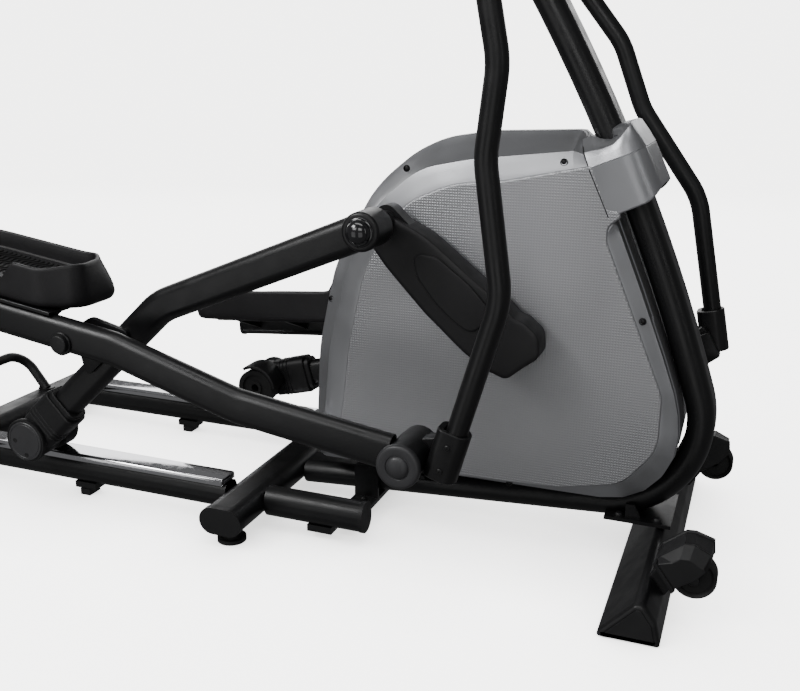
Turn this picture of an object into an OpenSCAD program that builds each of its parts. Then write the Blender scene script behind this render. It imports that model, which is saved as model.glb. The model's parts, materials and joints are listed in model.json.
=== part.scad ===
/* [Crank and linkage] */
// distance of the crank axle behind the front beam's middle
crank_x = -240; // [-300:5:-200]
// height of the crank axle above the floor
crank_z = 355; // [320:5:380]
// length of the crank arms, axle to pin
crank_r = 250; // [220:5:260]
// crank angle at rest, from straight back up to the right-hand pin
crank_rest = 45; // [45]
// link length from crank pin to roller axle
link_len = 760; // [740:5:800]
// rise of the link's bend above the line from roller to pin
link_rise = 70; // [40:5:90]
// pedal bar length from its middle bolt to its front pivot
bar_len = 590; // [560:5:620]
// distance of the arms' pivot behind the front beam's middle
arm_x = -239; // [-250:1:-220]
// height of the arms' pivot above the floor
arm_z = 905; // [880:5:930]
// running wheel radius
roller_r = 38; // [34:1:42]

/* [Frame] */
// long axis of the flat-oval main tube
mast_w = 80; // [70:1:100]
// short axis of the flat-oval main tube
mast_t = 42; // [38:1:50]
// tube wall
wall = 3; // [2:0.5:4]
// middle of each rail, sideways from the machine's middle
rail_y = 168; // [150:2:180]
// height of the running surface of the rails
rail_top = 82; // [70:1:90]
// half length of the front beam
front_half = 295; // [260:5:320]
// half length of the middle and rear beams
beam_half = 255; // [230:5:280]
// distance of the middle beam behind the front beam
mid_x = -655; // [-700:5:-620]
// distance of the rear beam behind the front beam
rear_x = -1310; // [-1350:5:-1290]

/* [Covers] */
// half width of the drive housing
cover_half = 85; // [80:1:95]
// thickness of the moulded plastic
shell = 3; // [2.5:0.5:4]

/* [Side planes] */
// middle plane of each crank arm
crank_y = 122; // [118:1:126]
// middle plane of each link
link_y = 217.5; // [215:0.5:220]
// middle plane of each pedal bar and swing arm
bar_y = 290; // [288:1:294]
// middle plane of each footplate
pedal_y = 226; // [220:1:232]

/* [Hidden] */
$fn = 48;
fit = 0.05;
tube_r = 15.5;
bar_h = 58;
bar_w = 32;
link_h = 54;
link_w = 32;
beam_w = 75;
beam_h = 45;
beam_z = 47;
mast_bend = 150;
mast_arc = 2900;
mast_start = [-617, 43];
mast_slope = 3.6;
mast_run = 535;
// lean of the mast where its long curve starts, where it is joined and where it ends
first_a = 18;
joint_a = 33.4;
pivot_r = 14;
mast_centre = [-2707.6, -623.4];
upper_bend = 800;
// top end of the upper mast
head_x = mast_centre[0] + (mast_arc + upper_bend) * cos(joint_a) - upper_bend;
head_z = mast_centre[1] + (mast_arc + upper_bend) * sin(joint_a);
pulley_r = 140;
pulley_y = 28;
flywheel_x = -432;
flywheel_z = 300;
flywheel_r = 128;
small_pulley_r = 20;
axle_z = rail_top + roller_r;
pin_right = [crank_x - crank_r * cos(crank_rest), crank_z + crank_r * sin(crank_rest)];
pin_left = [crank_x + crank_r * cos(crank_rest), crank_z - crank_r * sin(crank_rest)];
wheel_right = [pin_right[0] - sqrt(pow(link_len, 2) - pow(pin_right[1] - axle_z, 2)), axle_z];
wheel_left = [pin_left[0] - sqrt(pow(link_len, 2) - pow(pin_left[1] - axle_z, 2)), axle_z];
tilt_right = atan2(pin_right[1] - axle_z, pin_right[0] - wheel_right[0]);
tilt_left = atan2(pin_left[1] - axle_z, pin_left[0] - wheel_left[0]);
// bar bolt seen from the roller axle, along and across the link
bolt_u = 241;
bolt_v = 96;
bolt_right = wheel_right + turn([bolt_u, bolt_v], tilt_right);
bolt_left = wheel_left + turn([bolt_u, bolt_v], tilt_left);
arm_reach = 690;
front_right = meet(bolt_right, bar_len, [arm_x, arm_z], arm_reach);
front_left = meet(bolt_left, bar_len, [arm_x, arm_z], arm_reach);
bar_tilt_right = atan2(front_right[1] - bolt_right[1], front_right[0] - bolt_right[0]);
bar_tilt_left = atan2(front_left[1] - bolt_left[1], front_left[0] - bolt_left[0]);
arm_tilt_right = atan2(front_right[0] - arm_x, arm_z - front_right[1]);
arm_tilt_left = atan2(front_left[0] - arm_x, arm_z - front_left[1]);

function turn(p, a) = [p[0] * cos(a) - p[1] * sin(a), p[0] * sin(a) + p[1] * cos(a)];

// lower crossing point of two circles, the second centre lying above and ahead
function meet(a, ra, b, rb) =
  let (d = norm(b - a), dir = (b - a) / d, along = (ra * ra - rb * rb + d * d) / (2 * d))
  a + dir * along + [dir[1], -dir[0]] * sqrt(ra * ra - along * along);

// corner of an outline rounded to radius r
function corner(a, b, c, r, n = 8) =
  let (
    u = (a - b) / norm(a - b),
    v = (c - b) / norm(c - b),
    half = acos(u * v) / 2,
    reach = r / tan(half),
    mid = b + (u + v) / norm(u + v) * r / sin(half),
    start = b + u * reach - mid,
    side = u[0] * v[1] - u[1] * v[0] > 0 ? -1 : 1,
    sweep_a = 180 - 2 * half
  )
  [for (i = [0:n]) mid + turn(start, side * sweep_a * i / n)];

// outline with rounded corners, each point being [x, y, radius]
function rounded(pts) =
  let (n = len(pts))
  [for (i = [0:n - 1])
    let (
      a = pts[(i + n - 1) % n],
      b = pts[i],
      c = pts[(i + 1) % n]
    )
    each (b[2] > 0 ? corner([a[0], a[1]], [b[0], b[1]], [c[0], c[1]], b[2]) : [[b[0], b[1]]])];

// stadium outline, w by h
module oval(w, h) {
  if (w == h) {
    circle(d = w);
  } else if (w > h) {
    square([w - h, h], center = true);
    for (s = [-1, 1]) translate([s * (w - h) / 2, 0]) circle(d = h);
  } else {
    square([w, h - w], center = true);
    for (s = [-1, 1]) translate([0, s * (h - w) / 2]) circle(d = w);
  }
}

module oval_tube(w, h, t) {
  difference() {
    oval(w, h);
    oval(w - 2 * t, h - 2 * t);
  }
}

// profile carried along straights [length] and bends [radius, angle, roll]
module sweep(steps, i = 0) {
  if (i < len(steps)) {
    s = steps[i];
    if (len(s) == 1) {
      linear_extrude(s[0]) children();
      translate([0, 0, s[0]]) sweep(steps, i + 1) children();
    } else {
      rotate([0, 0, s[2]]) {
        translate([s[0], 0, 0]) rotate([90, 0, 180]) rotate_extrude(angle = s[1])
          translate([s[0], 0]) mirror([1, 0]) rotate(-s[2]) children();
        translate([s[0], 0, 0]) rotate([0, s[1], 0]) translate([-s[0], 0, 0])
          rotate([0, 0, -s[2]]) sweep(steps, i + 1) children();
      }
    }
  }
}

// solid drawn in side view (x forward, z up), from y0 to y1
module side(y0, y1) {
  translate([0, y1, 0]) rotate([90, 0, 0]) linear_extrude(y1 - y0) children();
}

// angle of the segment leaving point i
function heading(pts, i) = atan2(pts[i + 1][1] - pts[i][1], pts[i + 1][0] - pts[i][0]);

// sweep steps through side-view points, the corners bent to radius r
function steps_of(pts, r) =
  let (
    n = len(pts),
    turns = [for (i = [0:n - 1]) i > 0 && i < n - 1 ? heading(pts, i) - heading(pts, i - 1) : 0],
    cut = [for (a = turns) r * tan(abs(a) / 2)]
  )
  [for (i = [0:n - 2])
    each concat(
      [[norm(pts[i + 1] - pts[i]) - cut[i] - cut[i + 1]]],
      i < n - 2 ? [[r, abs(turns[i + 1]), turns[i + 1] < 0 ? 0 : 180]] : []
    )];

// tube through side-view points in the plane y
module tube_through(pts, r, y = 0) {
  translate([pts[0][0], y, pts[0][1]]) rotate([0, 90 - heading(pts, 0), 0])
    sweep(steps_of(pts, r)) children();
}

// the same path with both ends moved out by e
function longer(pts, e) =
  let (n = len(pts))
  [for (i = [0:n - 1])
    i == 0 ? pts[0] - turn([e, 0], heading(pts, 0))
    : i == n - 1 ? pts[i] + turn([e, 0], heading(pts, i - 1)) : pts[i]];

// stations [x, z, heading] along side-view points, each corner bent to radius r in steps
function stations(pts, r, steps = 5) =
  let (n = len(pts))
  [for (i = [0:n - 1])
    each (i == 0 ? [[pts[0][0], pts[0][1], heading(pts, 0)]]
    : i == n - 1 ? [[pts[i][0], pts[i][1], heading(pts, i - 1)]]
    : let (arc = corner(pts[i - 1], pts[i], pts[i + 1], r, steps), a = heading(pts, i - 1), b = heading(pts, i))
      [for (k = [0:steps]) [arc[k][0], arc[k][1], a + (b - a) * k / steps]])];

// points round a stadium section w by h, its flats lying on the stated size
function section_ring(w, h, sides = 24) =
  let (d = min(w, h), r = d / 2 / cos(180 / sides))
  [for (j = [0:sides - 1])
    let (a = 360 * (j + 0.5) / sides)
    [r * cos(a) + sign(cos(a)) * (w - d) / 2, r * sin(a) + sign(sin(a)) * (h - d) / 2]];

// bent bar of stadium section through side-view points in the plane y
module bent_bar(pts, r, w, h, y) {
  path = stations(pts, r);
  ring = section_ring(w, h);
  m = len(ring);
  last = (len(path) - 1) * m;
  polyhedron(
    points = [for (p = path) each [for (q = ring) [p[0] - q[0] * sin(p[2]), y + q[1], p[1] + q[0] * cos(p[2])]]],
    faces = concat(
      [[for (j = [0:m - 1]) m - 1 - j]],
      [[for (j = [0:m - 1]) last + j]],
      [for (i = [0:len(path) - 2]) each [for (j = [0:m - 1])
        [i * m + j, i * m + (j + 1) % m, (i + 1) * m + (j + 1) % m, (i + 1) * m + j]]]
    )
  );
}

module bent_tube(pts, r, w, h, t, y) {
  difference() {
    bent_bar(pts, r, w, h, y);
    bent_bar(longer(pts, 5), r, w - 2 * t, h - 2 * t, y);
  }
}

// rod along y
module rod(x, z, r, y0, y1) {
  translate([x, y1, z]) rotate([90, 0, 0]) cylinder(r = r, h = y1 - y0);
}

// right side stays as drawn, left side is its mirror image
module hand(left) {
  if (left) mirror([0, 1, 0]) children();
  else children();
}

module both() {
  children();
  mirror([0, 1, 0]) children();
}

// ---- main frame ----

// main tube drawn from its rear end, the local x axis pointing down
module mast_path(steps) {
  translate([mast_start[0], 0, mast_start[1]]) rotate([0, 90 - mast_slope, 0])
    sweep(steps) children();
}

module loop_frame() {
  steps = [[mast_run], [mast_bend, 90 + first_a - mast_slope, 180], [mast_arc, joint_a - first_a, 180]];
  color([0.06, 0.06, 0.065]) difference() {
    mast_path(steps) oval_tube(mast_t, mast_w, wall);
    rod(arm_x, arm_z, pivot_r + 0.2, -60, 60);
  }
}

module at_joint() {
  translate([mast_centre[0], 0, mast_centre[1]]) rotate([0, -joint_a, 0])
    translate([mast_arc, 0, 0]) children();
}

module upper_curve() {
  at_joint() sweep([[upper_bend, joint_a, 0]]) children();
}

module upper_mast() {
  color([0.06, 0.06, 0.065]) {
    upper_curve() oval_tube(mast_t, mast_w, wall);
    at_joint() {
      difference() {
        union() {
          translate([0, 0, -60]) linear_extrude(66) oval(mast_t - 2 * wall - 1, mast_w - 2 * wall - 1);
          translate([0, 0, 2]) linear_extrude(4) oval(mast_t - wall, mast_w - wall);
        }
        translate([0, 0, -61]) linear_extrude(70) oval(mast_t - 4 * wall, mast_w - 4 * wall);
      }
    }
    translate([head_x, 0, head_z - 14]) linear_extrude(55) oval(mast_t + 5, mast_w + 5);
    translate([head_x, 0, head_z + 40]) linear_extrude(6) square([110, 90], center = true);
  }
}

module front_stabiliser() {
  color([0.07, 0.07, 0.075]) difference() {
    side(-front_half + 12, front_half - 12) front_outline();
    side(-front_half, front_half) translate([0.6, 4.5]) scale(0.86) front_outline();
  }
}

module front_outline() {
  polygon(rounded([[-46, 0, 4], [46, 0, 4], [38, 34, 14], [20, 59, 10], [8, 59, 10]]));
}

module stabiliser_caps() {
  color([0.05, 0.05, 0.05]) both() difference() {
    union() {
      side(-front_half, -front_half + 12) front_outline();
      side(-front_half + 12, -front_half + 30) translate([1, 6.2]) scale(0.8) front_outline();
    }
    side(-front_half - 1, -front_half + 3) translate([3, 9]) scale(0.62) front_outline();
  }
}

module saddle_brackets() {
  color([0.06, 0.06, 0.065]) {
    difference() {
      translate([-74, -62, 64]) cube([104, 124, 6]);
      rod(-15, 60.5, 3, -70, 70);
      for (s = [-1, 1], x = [-52, 8]) translate([x, s * 52, 50]) cylinder(r = 5.5, h = 30);
    }
    for (s = [-1, 1]) translate([0, s * 50, 0]) side(-3, 3)
      polygon([[-42, 70], [-18, 70], [-28, 92], [-42, 92]]);
    difference() {
      translate([-512, -rail_y + rail_w / 2 + 0.2, 18]) cube([44, 2 * rail_y - rail_w - 0.4, 8]);
      for (s = [-1, 1]) translate([-490, s * 62, 10]) cylinder(r = 4.5, h = 24);
    }
    for (s = [-1, 1]) translate([-512, s * 47 - 3, 26]) cube([44, 6, 52]);
    translate([-512, -50, 76]) cube([44, 100, 5]);
  }
}

// ---- rear frame ----

module mid_beam() {
  color([0.06, 0.06, 0.065]) difference() {
    side(-beam_half, beam_half) translate([mid_x, beam_z]) oval_tube(beam_w, beam_h, wall);
    for (s = [-1, 1]) translate([mid_x, s * (beam_half - 22), 10]) cylinder(r = 6.1, h = 26);
  }
}

module rear_beam() {
  color([0.06, 0.06, 0.065]) difference() {
    side(-beam_half, beam_half) translate([rear_x, beam_z]) oval_tube(beam_w, beam_h, wall);
    for (s = [-1, 1]) translate([rear_x, s * (beam_half - 22), 10]) cylinder(r = 6.1, h = 26);
  }
}

module end_caps() {
  color([0.04, 0.04, 0.04]) {
    for (x = [mid_x, rear_x]) both() {
      side(-beam_half - 14, -beam_half) translate([x, beam_z]) oval(beam_w + 2, beam_h + 2);
      side(-beam_half, -beam_half + 16) translate([x, beam_z])
        oval(beam_w - 2 * wall - 0.6, beam_h - 2 * wall - 0.6);
    }
    both() {
      translate([rail_front, -rail_y, rail_z]) rotate([90, 0, 90]) linear_extrude(7)
        oval(rail_w + 2, rail_h + 2);
      translate([rail_front - 16, -rail_y, rail_z]) rotate([90, 0, 90]) linear_extrude(16)
        oval(rail_w - 2 * wall - 0.6, rail_h - 2 * wall - 0.6);
    }
    both() {
      translate([rail_rear + 6, -rail_y - 14, rail_top]) cube([6, 28, 9]);
      translate([-1000, -rail_y - 15, 0]) cube([20, 30, 12]);
    }
  }
}

rail_w = 42;
rail_h = 52;
rail_z = 49;
rail_front = -447;
rail_rear = rear_x + beam_w / 2;

module rail_tubes() {
  color([0.06, 0.06, 0.065]) both() difference() {
    union() {
      translate([rail_rear, -rail_y, rail_z]) rotate([90, 0, 90])
        linear_extrude(mid_x - beam_w / 2 - rail_rear) oval_tube(rail_w, rail_h, wall);
      translate([mid_x + beam_w / 2, -rail_y, rail_z]) rotate([90, 0, 90])
        linear_extrude(rail_front - mid_x - beam_w / 2) oval_tube(rail_w, rail_h, wall);
      for (x = [-990, -520]) translate([x - 22, -rail_y - 13, 12]) cube([44, 26, 12]);
    }
    translate([rail_rear - 1, -rail_y - 30, rail_top - 13.5])
      cube([mid_x - beam_w / 2 - rail_rear + 2, 60, 30]);
  }
}

module running_rails() {
  color([0.8, 0.8, 0.82]) both() difference() {
    translate([rail_rear + 6, -rail_y, rail_z]) rotate([90, 0, 90])
      linear_extrude(mid_x - beam_w / 2 - rail_rear - 10) union() {
        translate([0, rail_top - rail_z - 13]) difference() {
          translate([-22, 0]) square([44, 13]);
          for (s = [-1, 1]) translate([s * 22, 13]) rotate(s * 24) square([16, 12], center = true);
        }
      }
  }
}

module lift_handle() {
  color([0.05, 0.05, 0.05]) {
    translate([rear_x - 8, -112, beam_z + beam_h / 2 - 0.6]) rotate([0, -38, 0])
      sweep([[50], [45, 90, 90], [134], [45, 90, 90], [50]]) circle(10);
    for (s = [-1, 1]) translate([rear_x - 8, s * 112, beam_z + beam_h / 2]) cylinder(r = 17, h = 3);
  }
}

module level_foot(x, y) {
  color([0.03, 0.03, 0.03]) translate([x, y, 0]) {
    cylinder(r = 24, h = 7);
    translate([0, 0, 7]) cylinder(r = 16, h = 6);
    translate([0, 0, 13]) cylinder(r = 6, h = 42);
  }
}

// ---- transport wheels ----

wheel_x = 78;
wheel_z = 78;
wheel_y = 214;
carry_r = 31;

module wheel_housings() {
  color([0.04, 0.04, 0.042]) both() translate([0, -wheel_y, 0]) {
    difference() {
      side(-25, 25) polygon(rounded([
        [44.5, 8, 2], [76, 20, 8], [112, 46, 8], [118, 74, 8], [100, 112, 12], [62, 116, 12], [30, 86, 8],
        [24.5, 62, 2], [41, 38, 3]
      ]));
      side(-17, 17) translate([wheel_x, wheel_z]) circle(carry_r + 2.5);
      translate([wheel_x, -17, wheel_z - 62]) cube([60, 34, 62]);
      rod(wheel_x, wheel_z, 5, -30, 30);
    }
  }
}

module carry_wheel() {
  color([0.05, 0.05, 0.05]) translate([0, -wheel_y, 0]) difference() {
    rod(wheel_x, wheel_z, carry_r, -15, 15);
    rod(wheel_x, wheel_z, 5 + fit, -20, 20);
    for (s = [-1, 1]) translate([0, s * 15, 0]) difference() {
      rod(wheel_x, wheel_z, 22, -4, 4);
      rod(wheel_x, wheel_z, 10, -5, 5);
    }
  }
}

module frame_bolts() {
  color([0.12, 0.12, 0.13]) {
    both() translate([0, -wheel_y, 0]) {
      rod(wheel_x, wheel_z, 5, -25, 25);
      rod(wheel_x, wheel_z, 9, -30, -25);
      rod(wheel_x, wheel_z, 9, 25, 31);
    }
    for (s = [-1, 1], x = [-52, 8]) translate([x, s * 52, 70]) cylinder(r = 9, h = 6.5);
    for (s = [-1, 1]) translate([-490, s * 62, 26]) cylinder(r = 7.5, h = 5);
    for (s = [-1, 1]) translate([head_x + s * 40, 0, head_z + 46]) cylinder(r = 6, h = 4);
  }
}

// ---- drive housing ----

function cover_outline(o) = [
  [-580 + o, 100 + o, 14], [-569 + o, 300, 300], [-537 + o, 450, 220], [-470 + 0.75 * o, 577 - 0.7 * o, 190],
  [-390 + 0.3 * o, 645 - o, 170], [-290, 661 - o, 200], [-150 - 0.4 * o, 667 - o, 0],
  [-127 - o, 640, 0], [-88 - o, 556, 0], [-39 - o, 442, 0], [0 - o, 345, 0], [20 - o, 290, 0],
  [28 - o, 258, 0], [31.5 - o, 226, 0], [27 - o, 188, 0], [12 - 0.85 * o, 154, 0], [-12 - 0.6 * o, 127 + 0.7 * o, 0],
  [-44 - 0.3 * o, 110 + o, 0], [-80, 104 + o, 0]
];

module cover_half_shell() {
  color([0.56, 0.56, 0.57]) difference() {
    union() {
      side(-cover_half + 8, -0.3) polygon(rounded(cover_outline(0)));
      side(-cover_half, -cover_half + 8) polygon(rounded(cover_outline(10)));
    }
    side(-cover_half + 8 + shell, 1) polygon(rounded(cover_outline(shell)));
    side(-cover_half + shell, -cover_half + 9 + shell) polygon(rounded(cover_outline(10 + shell)));
    side(-cover_half - 1, -cover_half + 1.2) polygon(rounded(cover_outline(46)));
    rod(crank_x, crank_z, 34, -cover_half - 2, -cover_half + 20);
    for (p = screw_spots) rod(p[0], p[1], 4.2, -cover_half - 2, -cover_half + 12);
    translate([-500, -66, 90]) cube([300, 70, 24]);
    translate(inlet_corner - [6, 0.1, 0.1]) cube(inlet_size + [12, 0.2, 0.2]);
  }
}

screw_spots = [[-405, 605], [-160, 625], [-545, 385], [-12, 372], [-222, 124], [-556, 124]];

module cover_screws() {
  color([0.03, 0.03, 0.03]) both() for (p = screw_spots) {
    rod(p[0], p[1], 4, -cover_half - 0.4, -cover_half + 12);
  }
}

module mast_shroud() {
  color([0.62, 0.62, 0.63]) both() difference() {
    side(-cover_half + 1, -0.3) polygon(rounded([
      [-147, 671.5, 4], [-126.4, 640.2, 0], [-87.4, 556.2, 0], [-76, 552, 4], [-36, 581, 8], [-28, 604, 6],
      [-63, 676, 8], [-82, 687, 4], [-112, 672, 8]
    ]));
    side(-cover_half + 4, 1) polygon([
      [-152, 668], [-92, 563.5], [-78, 556], [-39, 584], [-31, 604], [-66, 676], [-84, 701], [-116, 690]
    ]);
    side(-mast_w / 2 - 2, 1) polygon([[-190, 720], [-180, 560], [-70, 520], [10, 560], [0, 720]]);
  }
}

// rear lower corner and size of the mains inlet
inlet_corner = [-588, -14, 128];
inlet_size = [20, 28, 22];

module power_inlet() {
  color([0.05, 0.05, 0.05]) difference() {
    translate(inlet_corner) cube(inlet_size);
    rod_x(-589, 6.2, 139, 12);
  }
  color([0.05, 0.05, 0.05]) translate([-588, 0, 139]) rotate([0, 90, 0]) cylinder(r = 1.6, h = 12);
}

module rod_x(x, r, z, l) {
  translate([x, 0, z]) rotate([0, 90, 0]) cylinder(r = r, h = l);
}

// ---- drive ----

module inner_frame() {
  color([0.08, 0.08, 0.085]) {
    difference() {
      union() {
        rod(crank_x, crank_z, 30, -32, 8);
        side(-20, -4) polygon([[-275, 90], [-205, 90], [-216, 340], [-264, 340]]);
        translate([-285, -32, 88]) cube([90, 40, 6]);
      }
      rod(crank_x, crank_z, 24, -34, 10);
    }
    difference() {
      union() {
        translate([-485, -58, 80]) cube([106, 110, 6]);
        for (y = [-58, 46]) side(y, y + 6) polygon([
          [-480, 84], [-384, 84], [-412, 318], [-452, 318]
        ]);
        side(-58, -52) polygon([[-452, 300], [-412, 300], [-392, 452], [-420, 458]]);
        side(2, 8) polygon([[-384, 80], [-286, 80], [-286, 162], [-314, 162], [-400, 90]]);
        translate([-384, 2, 80]) cube([98, 20, 5]);
      }
      rod(flywheel_x, flywheel_z, 8, -60, 60);
    }
    rod(flywheel_x, flywheel_z, 8, -60, 54);
    rod(idler_x, idler_z, 6, 8, 18);
    rod(brake_x, brake_z, 5, -52, -6);
  }
}

idler_x = -300;
idler_z = 148;
brake_x = -406;
brake_z = 447.7;

module crank_axle() {
  color([0.6, 0.6, 0.62]) difference() {
    union() {
      rod(crank_x, crank_z, 12.5, -140, 140);
      rod(crank_x, crank_z, 32, 12, 17);
      both() rod(crank_x, crank_z, 17, -144, -137.2);
    }
    for (i = [0:3]) rod(crank_x + 24 * cos(45 + 90 * i), crank_z + 24 * sin(45 + 90 * i), 3.3, 10, 20);
  }
}

module crank_bearings() {
  color([0.5, 0.5, 0.52]) for (y = [-31, -5]) difference() {
    rod(crank_x, crank_z, 24 - fit, y, y + 12);
    rod(crank_x, crank_z, 12.5 + fit, y - 1, y + 13);
  }
}

module drive_pulley() {
  color([0.15, 0.15, 0.16]) difference() {
    rod(crank_x, crank_z, pulley_r, pulley_y - 10, pulley_y + 10);
    for (s = [-1, 1]) translate([0, pulley_y + s * 10, 0]) difference() {
      rod(crank_x, crank_z, pulley_r - 12, -6, 6);
      rod(crank_x, crank_z, 38, -7, 7);
    }
    rod(crank_x, crank_z, 12.5 + fit, 0, 60);
    for (i = [0:5]) translate([crank_x, 0, crank_z]) rotate([0, 60 * i, 0]) rod(82, 0, 24, 0, 60);
  }
}

belt_way = atan2(flywheel_z - crank_z, flywheel_x - crank_x);
belt_side = acos((pulley_r - small_pulley_r) / norm([flywheel_x - crank_x, flywheel_z - crank_z]));

function belt_points(t) = concat(
  [for (i = [0:30]) [crank_x, crank_z]
    + turn([pulley_r + t, 0], belt_way + belt_side + (360 - 2 * belt_side) * i / 30)],
  [for (i = [0:8]) [flywheel_x, flywheel_z]
    + turn([small_pulley_r + t, 0], belt_way - belt_side + 2 * belt_side * i / 8)]
);

module drive_belt() {
  color([0.04, 0.04, 0.04]) side(pulley_y - 8, pulley_y + 8) difference() {
    polygon(belt_points(3));
    polygon(belt_points(1.2));
  }
}

module flywheel() {
  color([0.35, 0.35, 0.37]) difference() {
    union() {
      rod(flywheel_x, flywheel_z, flywheel_r, -45, -5);
      rod(flywheel_x, flywheel_z, small_pulley_r, -5, 40);
    }
    for (s = [-1, 1]) translate([0, -25 + s * 20, 0]) difference() {
      rod(flywheel_x, flywheel_z, flywheel_r - 26, -9, 9);
      rod(flywheel_x, flywheel_z, 34, -10, 10);
    }
    rod(flywheel_x, flywheel_z, 8 + fit, -50, 45);
  }
}

module idler_arm() {
  color([0.3, 0.3, 0.32]) {
    difference() {
      union() {
        side(9, 14) polygon(rounded([
          [idler_x + 14, idler_z - 10, 8], [idler_x + 8, idler_z + 16, 8], [-362, 240, 8], [-384, 224, 8],
          [idler_x - 14, idler_z - 12, 8]
        ]));
        rod(-372.5, 231, 5, 14, 42);
      }
      rod(idler_x, idler_z, 6 + fit, 0, 30);
    }
    difference() {
      rod(-372.5, 231, 18, 18, 38);
      rod(-372.5, 231, 5 + fit, 10, 45);
    }
  }
}

module magnet_brake() {
  color([0.3, 0.3, 0.32]) difference() {
    union() {
      side(-44, -6) polygon(concat(
        [for (a = [88:6:130]) [flywheel_x, flywheel_z] + turn([flywheel_r + 3, 0], a)],
        [for (a = [130:-6:88]) [flywheel_x, flywheel_z] + turn([flywheel_r + 12, 0], a)]
      ));
      side(-44, -8) polygon([[-446, 438], [-406, 436], [-400, 455], [-440, 446]]);
      rod(brake_x, brake_z, 11, -44, -8);
    }
    rod(brake_x, brake_z, 5 + fit, -60, 0);
  }
}

// ---- cranks ----

// crank placed along its own length, u from the axle to the pin
module on_crank(left) {
  hand(left) translate([crank_x, 0, crank_z])
    rotate([0, left ? crank_rest : crank_rest + 180, 0]) children();
}

module crank_arm(left) {
  color([0.1, 0.1, 0.1]) on_crank(left) difference() {
    union() {
      side(-crank_y - 14, -crank_y + 14) polygon(rounded([
        [-36, -30, 26], [crank_r + 24, -21, 18], [crank_r + 24, 21, 18], [-36, 30, 26]
      ]));
      rod(0, 0, 26, -crank_y + 14, -89);
      rod(crank_r, 0, 12, -185, -crank_y - 14);
      rod(crank_r, 0, 16, -crank_y - 26, -crank_y - 14);
    }
    rod(0, 0, 12.5 + fit, -150, -80);
  }
}

module crank_cover(left) {
  color([0.045, 0.045, 0.05]) on_crank(left) difference() {
    side(-151, -97) polygon(rounded([
      [-64, -20, 6], [-44, -46, 8], [16, -54, 30], [crank_r + 29, -32, 7], [crank_r + 29, 32, 7], [16, 54, 30],
      [-44, 46, 8], [-64, 20, 6]
    ]));
    side(-146, -102) polygon(rounded([
      [-42, -33, 26], [crank_r + 26, -24, 18], [crank_r + 26, 24, 18], [-42, 33, 26]
    ]));
    rod(0, 0, 28, -110, -90);
    rod(crank_r, 0, 17, -160, -140);
    side(-152, -149) translate([122, 0]) rotate(0) polygon(rounded([
      [-82, -36, 26], [78, -21, 18], [78, 21, 18], [-82, 36, 26]
    ]));
  }
}

// ---- links and rollers ----

module on_link(left) {
  p = left ? wheel_left : wheel_right;
  hand(left) translate([p[0], 0, p[1]]) rotate([0, left ? -tilt_left : -tilt_right, 0]) children();
}

module link(left) {
  color([0.06, 0.06, 0.065]) on_link(left) {
    bent_tube([[20, 3.7], [link_len / 2, link_rise], [link_len - 22, 4]], 110, link_h, link_w, wall, -link_y);
    rod(0, 0, 27, -link_y - 20, -link_y + 20);
    rod(link_len, 0, 29, -link_y - 26, -185.6);
    intersection() {
      rod(link_len, 0, 23, -link_y - 60, -link_y - 20);
      translate([link_len, -link_y + 2, 0]) sphere(r = 46);
    }
    side(-link_y - link_w / 2 - 8, -link_y - link_w / 2 + 1) polygon(rounded([
      [190, 36, 8], [318, 58, 8], [bolt_u + 22, bolt_v + 20, 18], [bolt_u - 22, bolt_v + 20, 18]
    ]));
    rod(bolt_u, bolt_v, 10, -bar_y - 20, -link_y - link_w / 2 - 8);
    rod(bolt_u, bolt_v, 15, -bar_y - 26, -bar_y - 20);
    rod(0, 0, 8, -link_y + 20, -rail_y + 20);
    rod(0, 0, 13, -rail_y + 18.6, -rail_y + 25);
  }
}

module roller(left) {
  color([0.09, 0.09, 0.09]) on_link(left) difference() {
    rod(0, 0, roller_r - 0.2, -rail_y - 16, -rail_y + 16);
    rod(0, 0, 8 + fit, -rail_y - 20, -rail_y + 20);
    for (s = [-1, 1]) translate([0, -rail_y + s * 16, 0]) difference() {
      rod(0, 0, 28, -4, 4);
      rod(0, 0, 14, -5, 5);
    }
  }
}

module roller_boot(left) {
  leg = atan2(link_rise, link_len / 2);
  color([0.05, 0.05, 0.05]) on_link(left) difference() {
    union() {
      rod(0, 0, 40, -link_y - 32, -link_y - 20.4);
      rod(0, 0, 36, -link_y - 20.4, -link_y + 20);
      rotate([0, -leg, 0]) translate([20, -link_y - 24, -37]) cube([78, 46, 74]);
      rotate([0, -leg, 0]) translate([98, -link_y - 21, -33]) cube([10, 40, 66]);
      side(-link_y + 19, -rail_y + 22) difference() {
        intersection() {
          circle(roller_r + 10);
          rotate(leg + 2) translate([-34, -10]) square([90, 80]);
        }
        circle(roller_r + 4);
      }
    }
    rod(0, 0, 27.4, -link_y - 20.4, -link_y + 21);
    tube_through([[10, 1.84], [link_len / 2, link_rise]], 10, -link_y) oval(link_h + 0.8, link_w + 0.8);
    for (s = [-1, 1]) rod(s * 20, -s * 8, 4, -link_y - 33, -link_y - 28);
  }
}

// ---- pedal bars and pedals ----

bar_bend = [88, 14];
rear_rise = 2.3;
bar_back = 330;

module on_bar(left) {
  p = left ? bolt_left : bolt_right;
  hand(left) translate([p[0], 0, p[1]]) rotate([0, left ? -bar_tilt_left : -bar_tilt_right, 0]) children();
}

// frame on the bar's rear leg, at the middle of the footplate
module on_rear_leg(left) {
  on_bar(left) translate([bar_bend[0], 0, bar_bend[1]]) rotate([0, -rear_rise, 0])
    translate([-bar_bend[0] - 178, 0, 0]) children();
}

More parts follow.
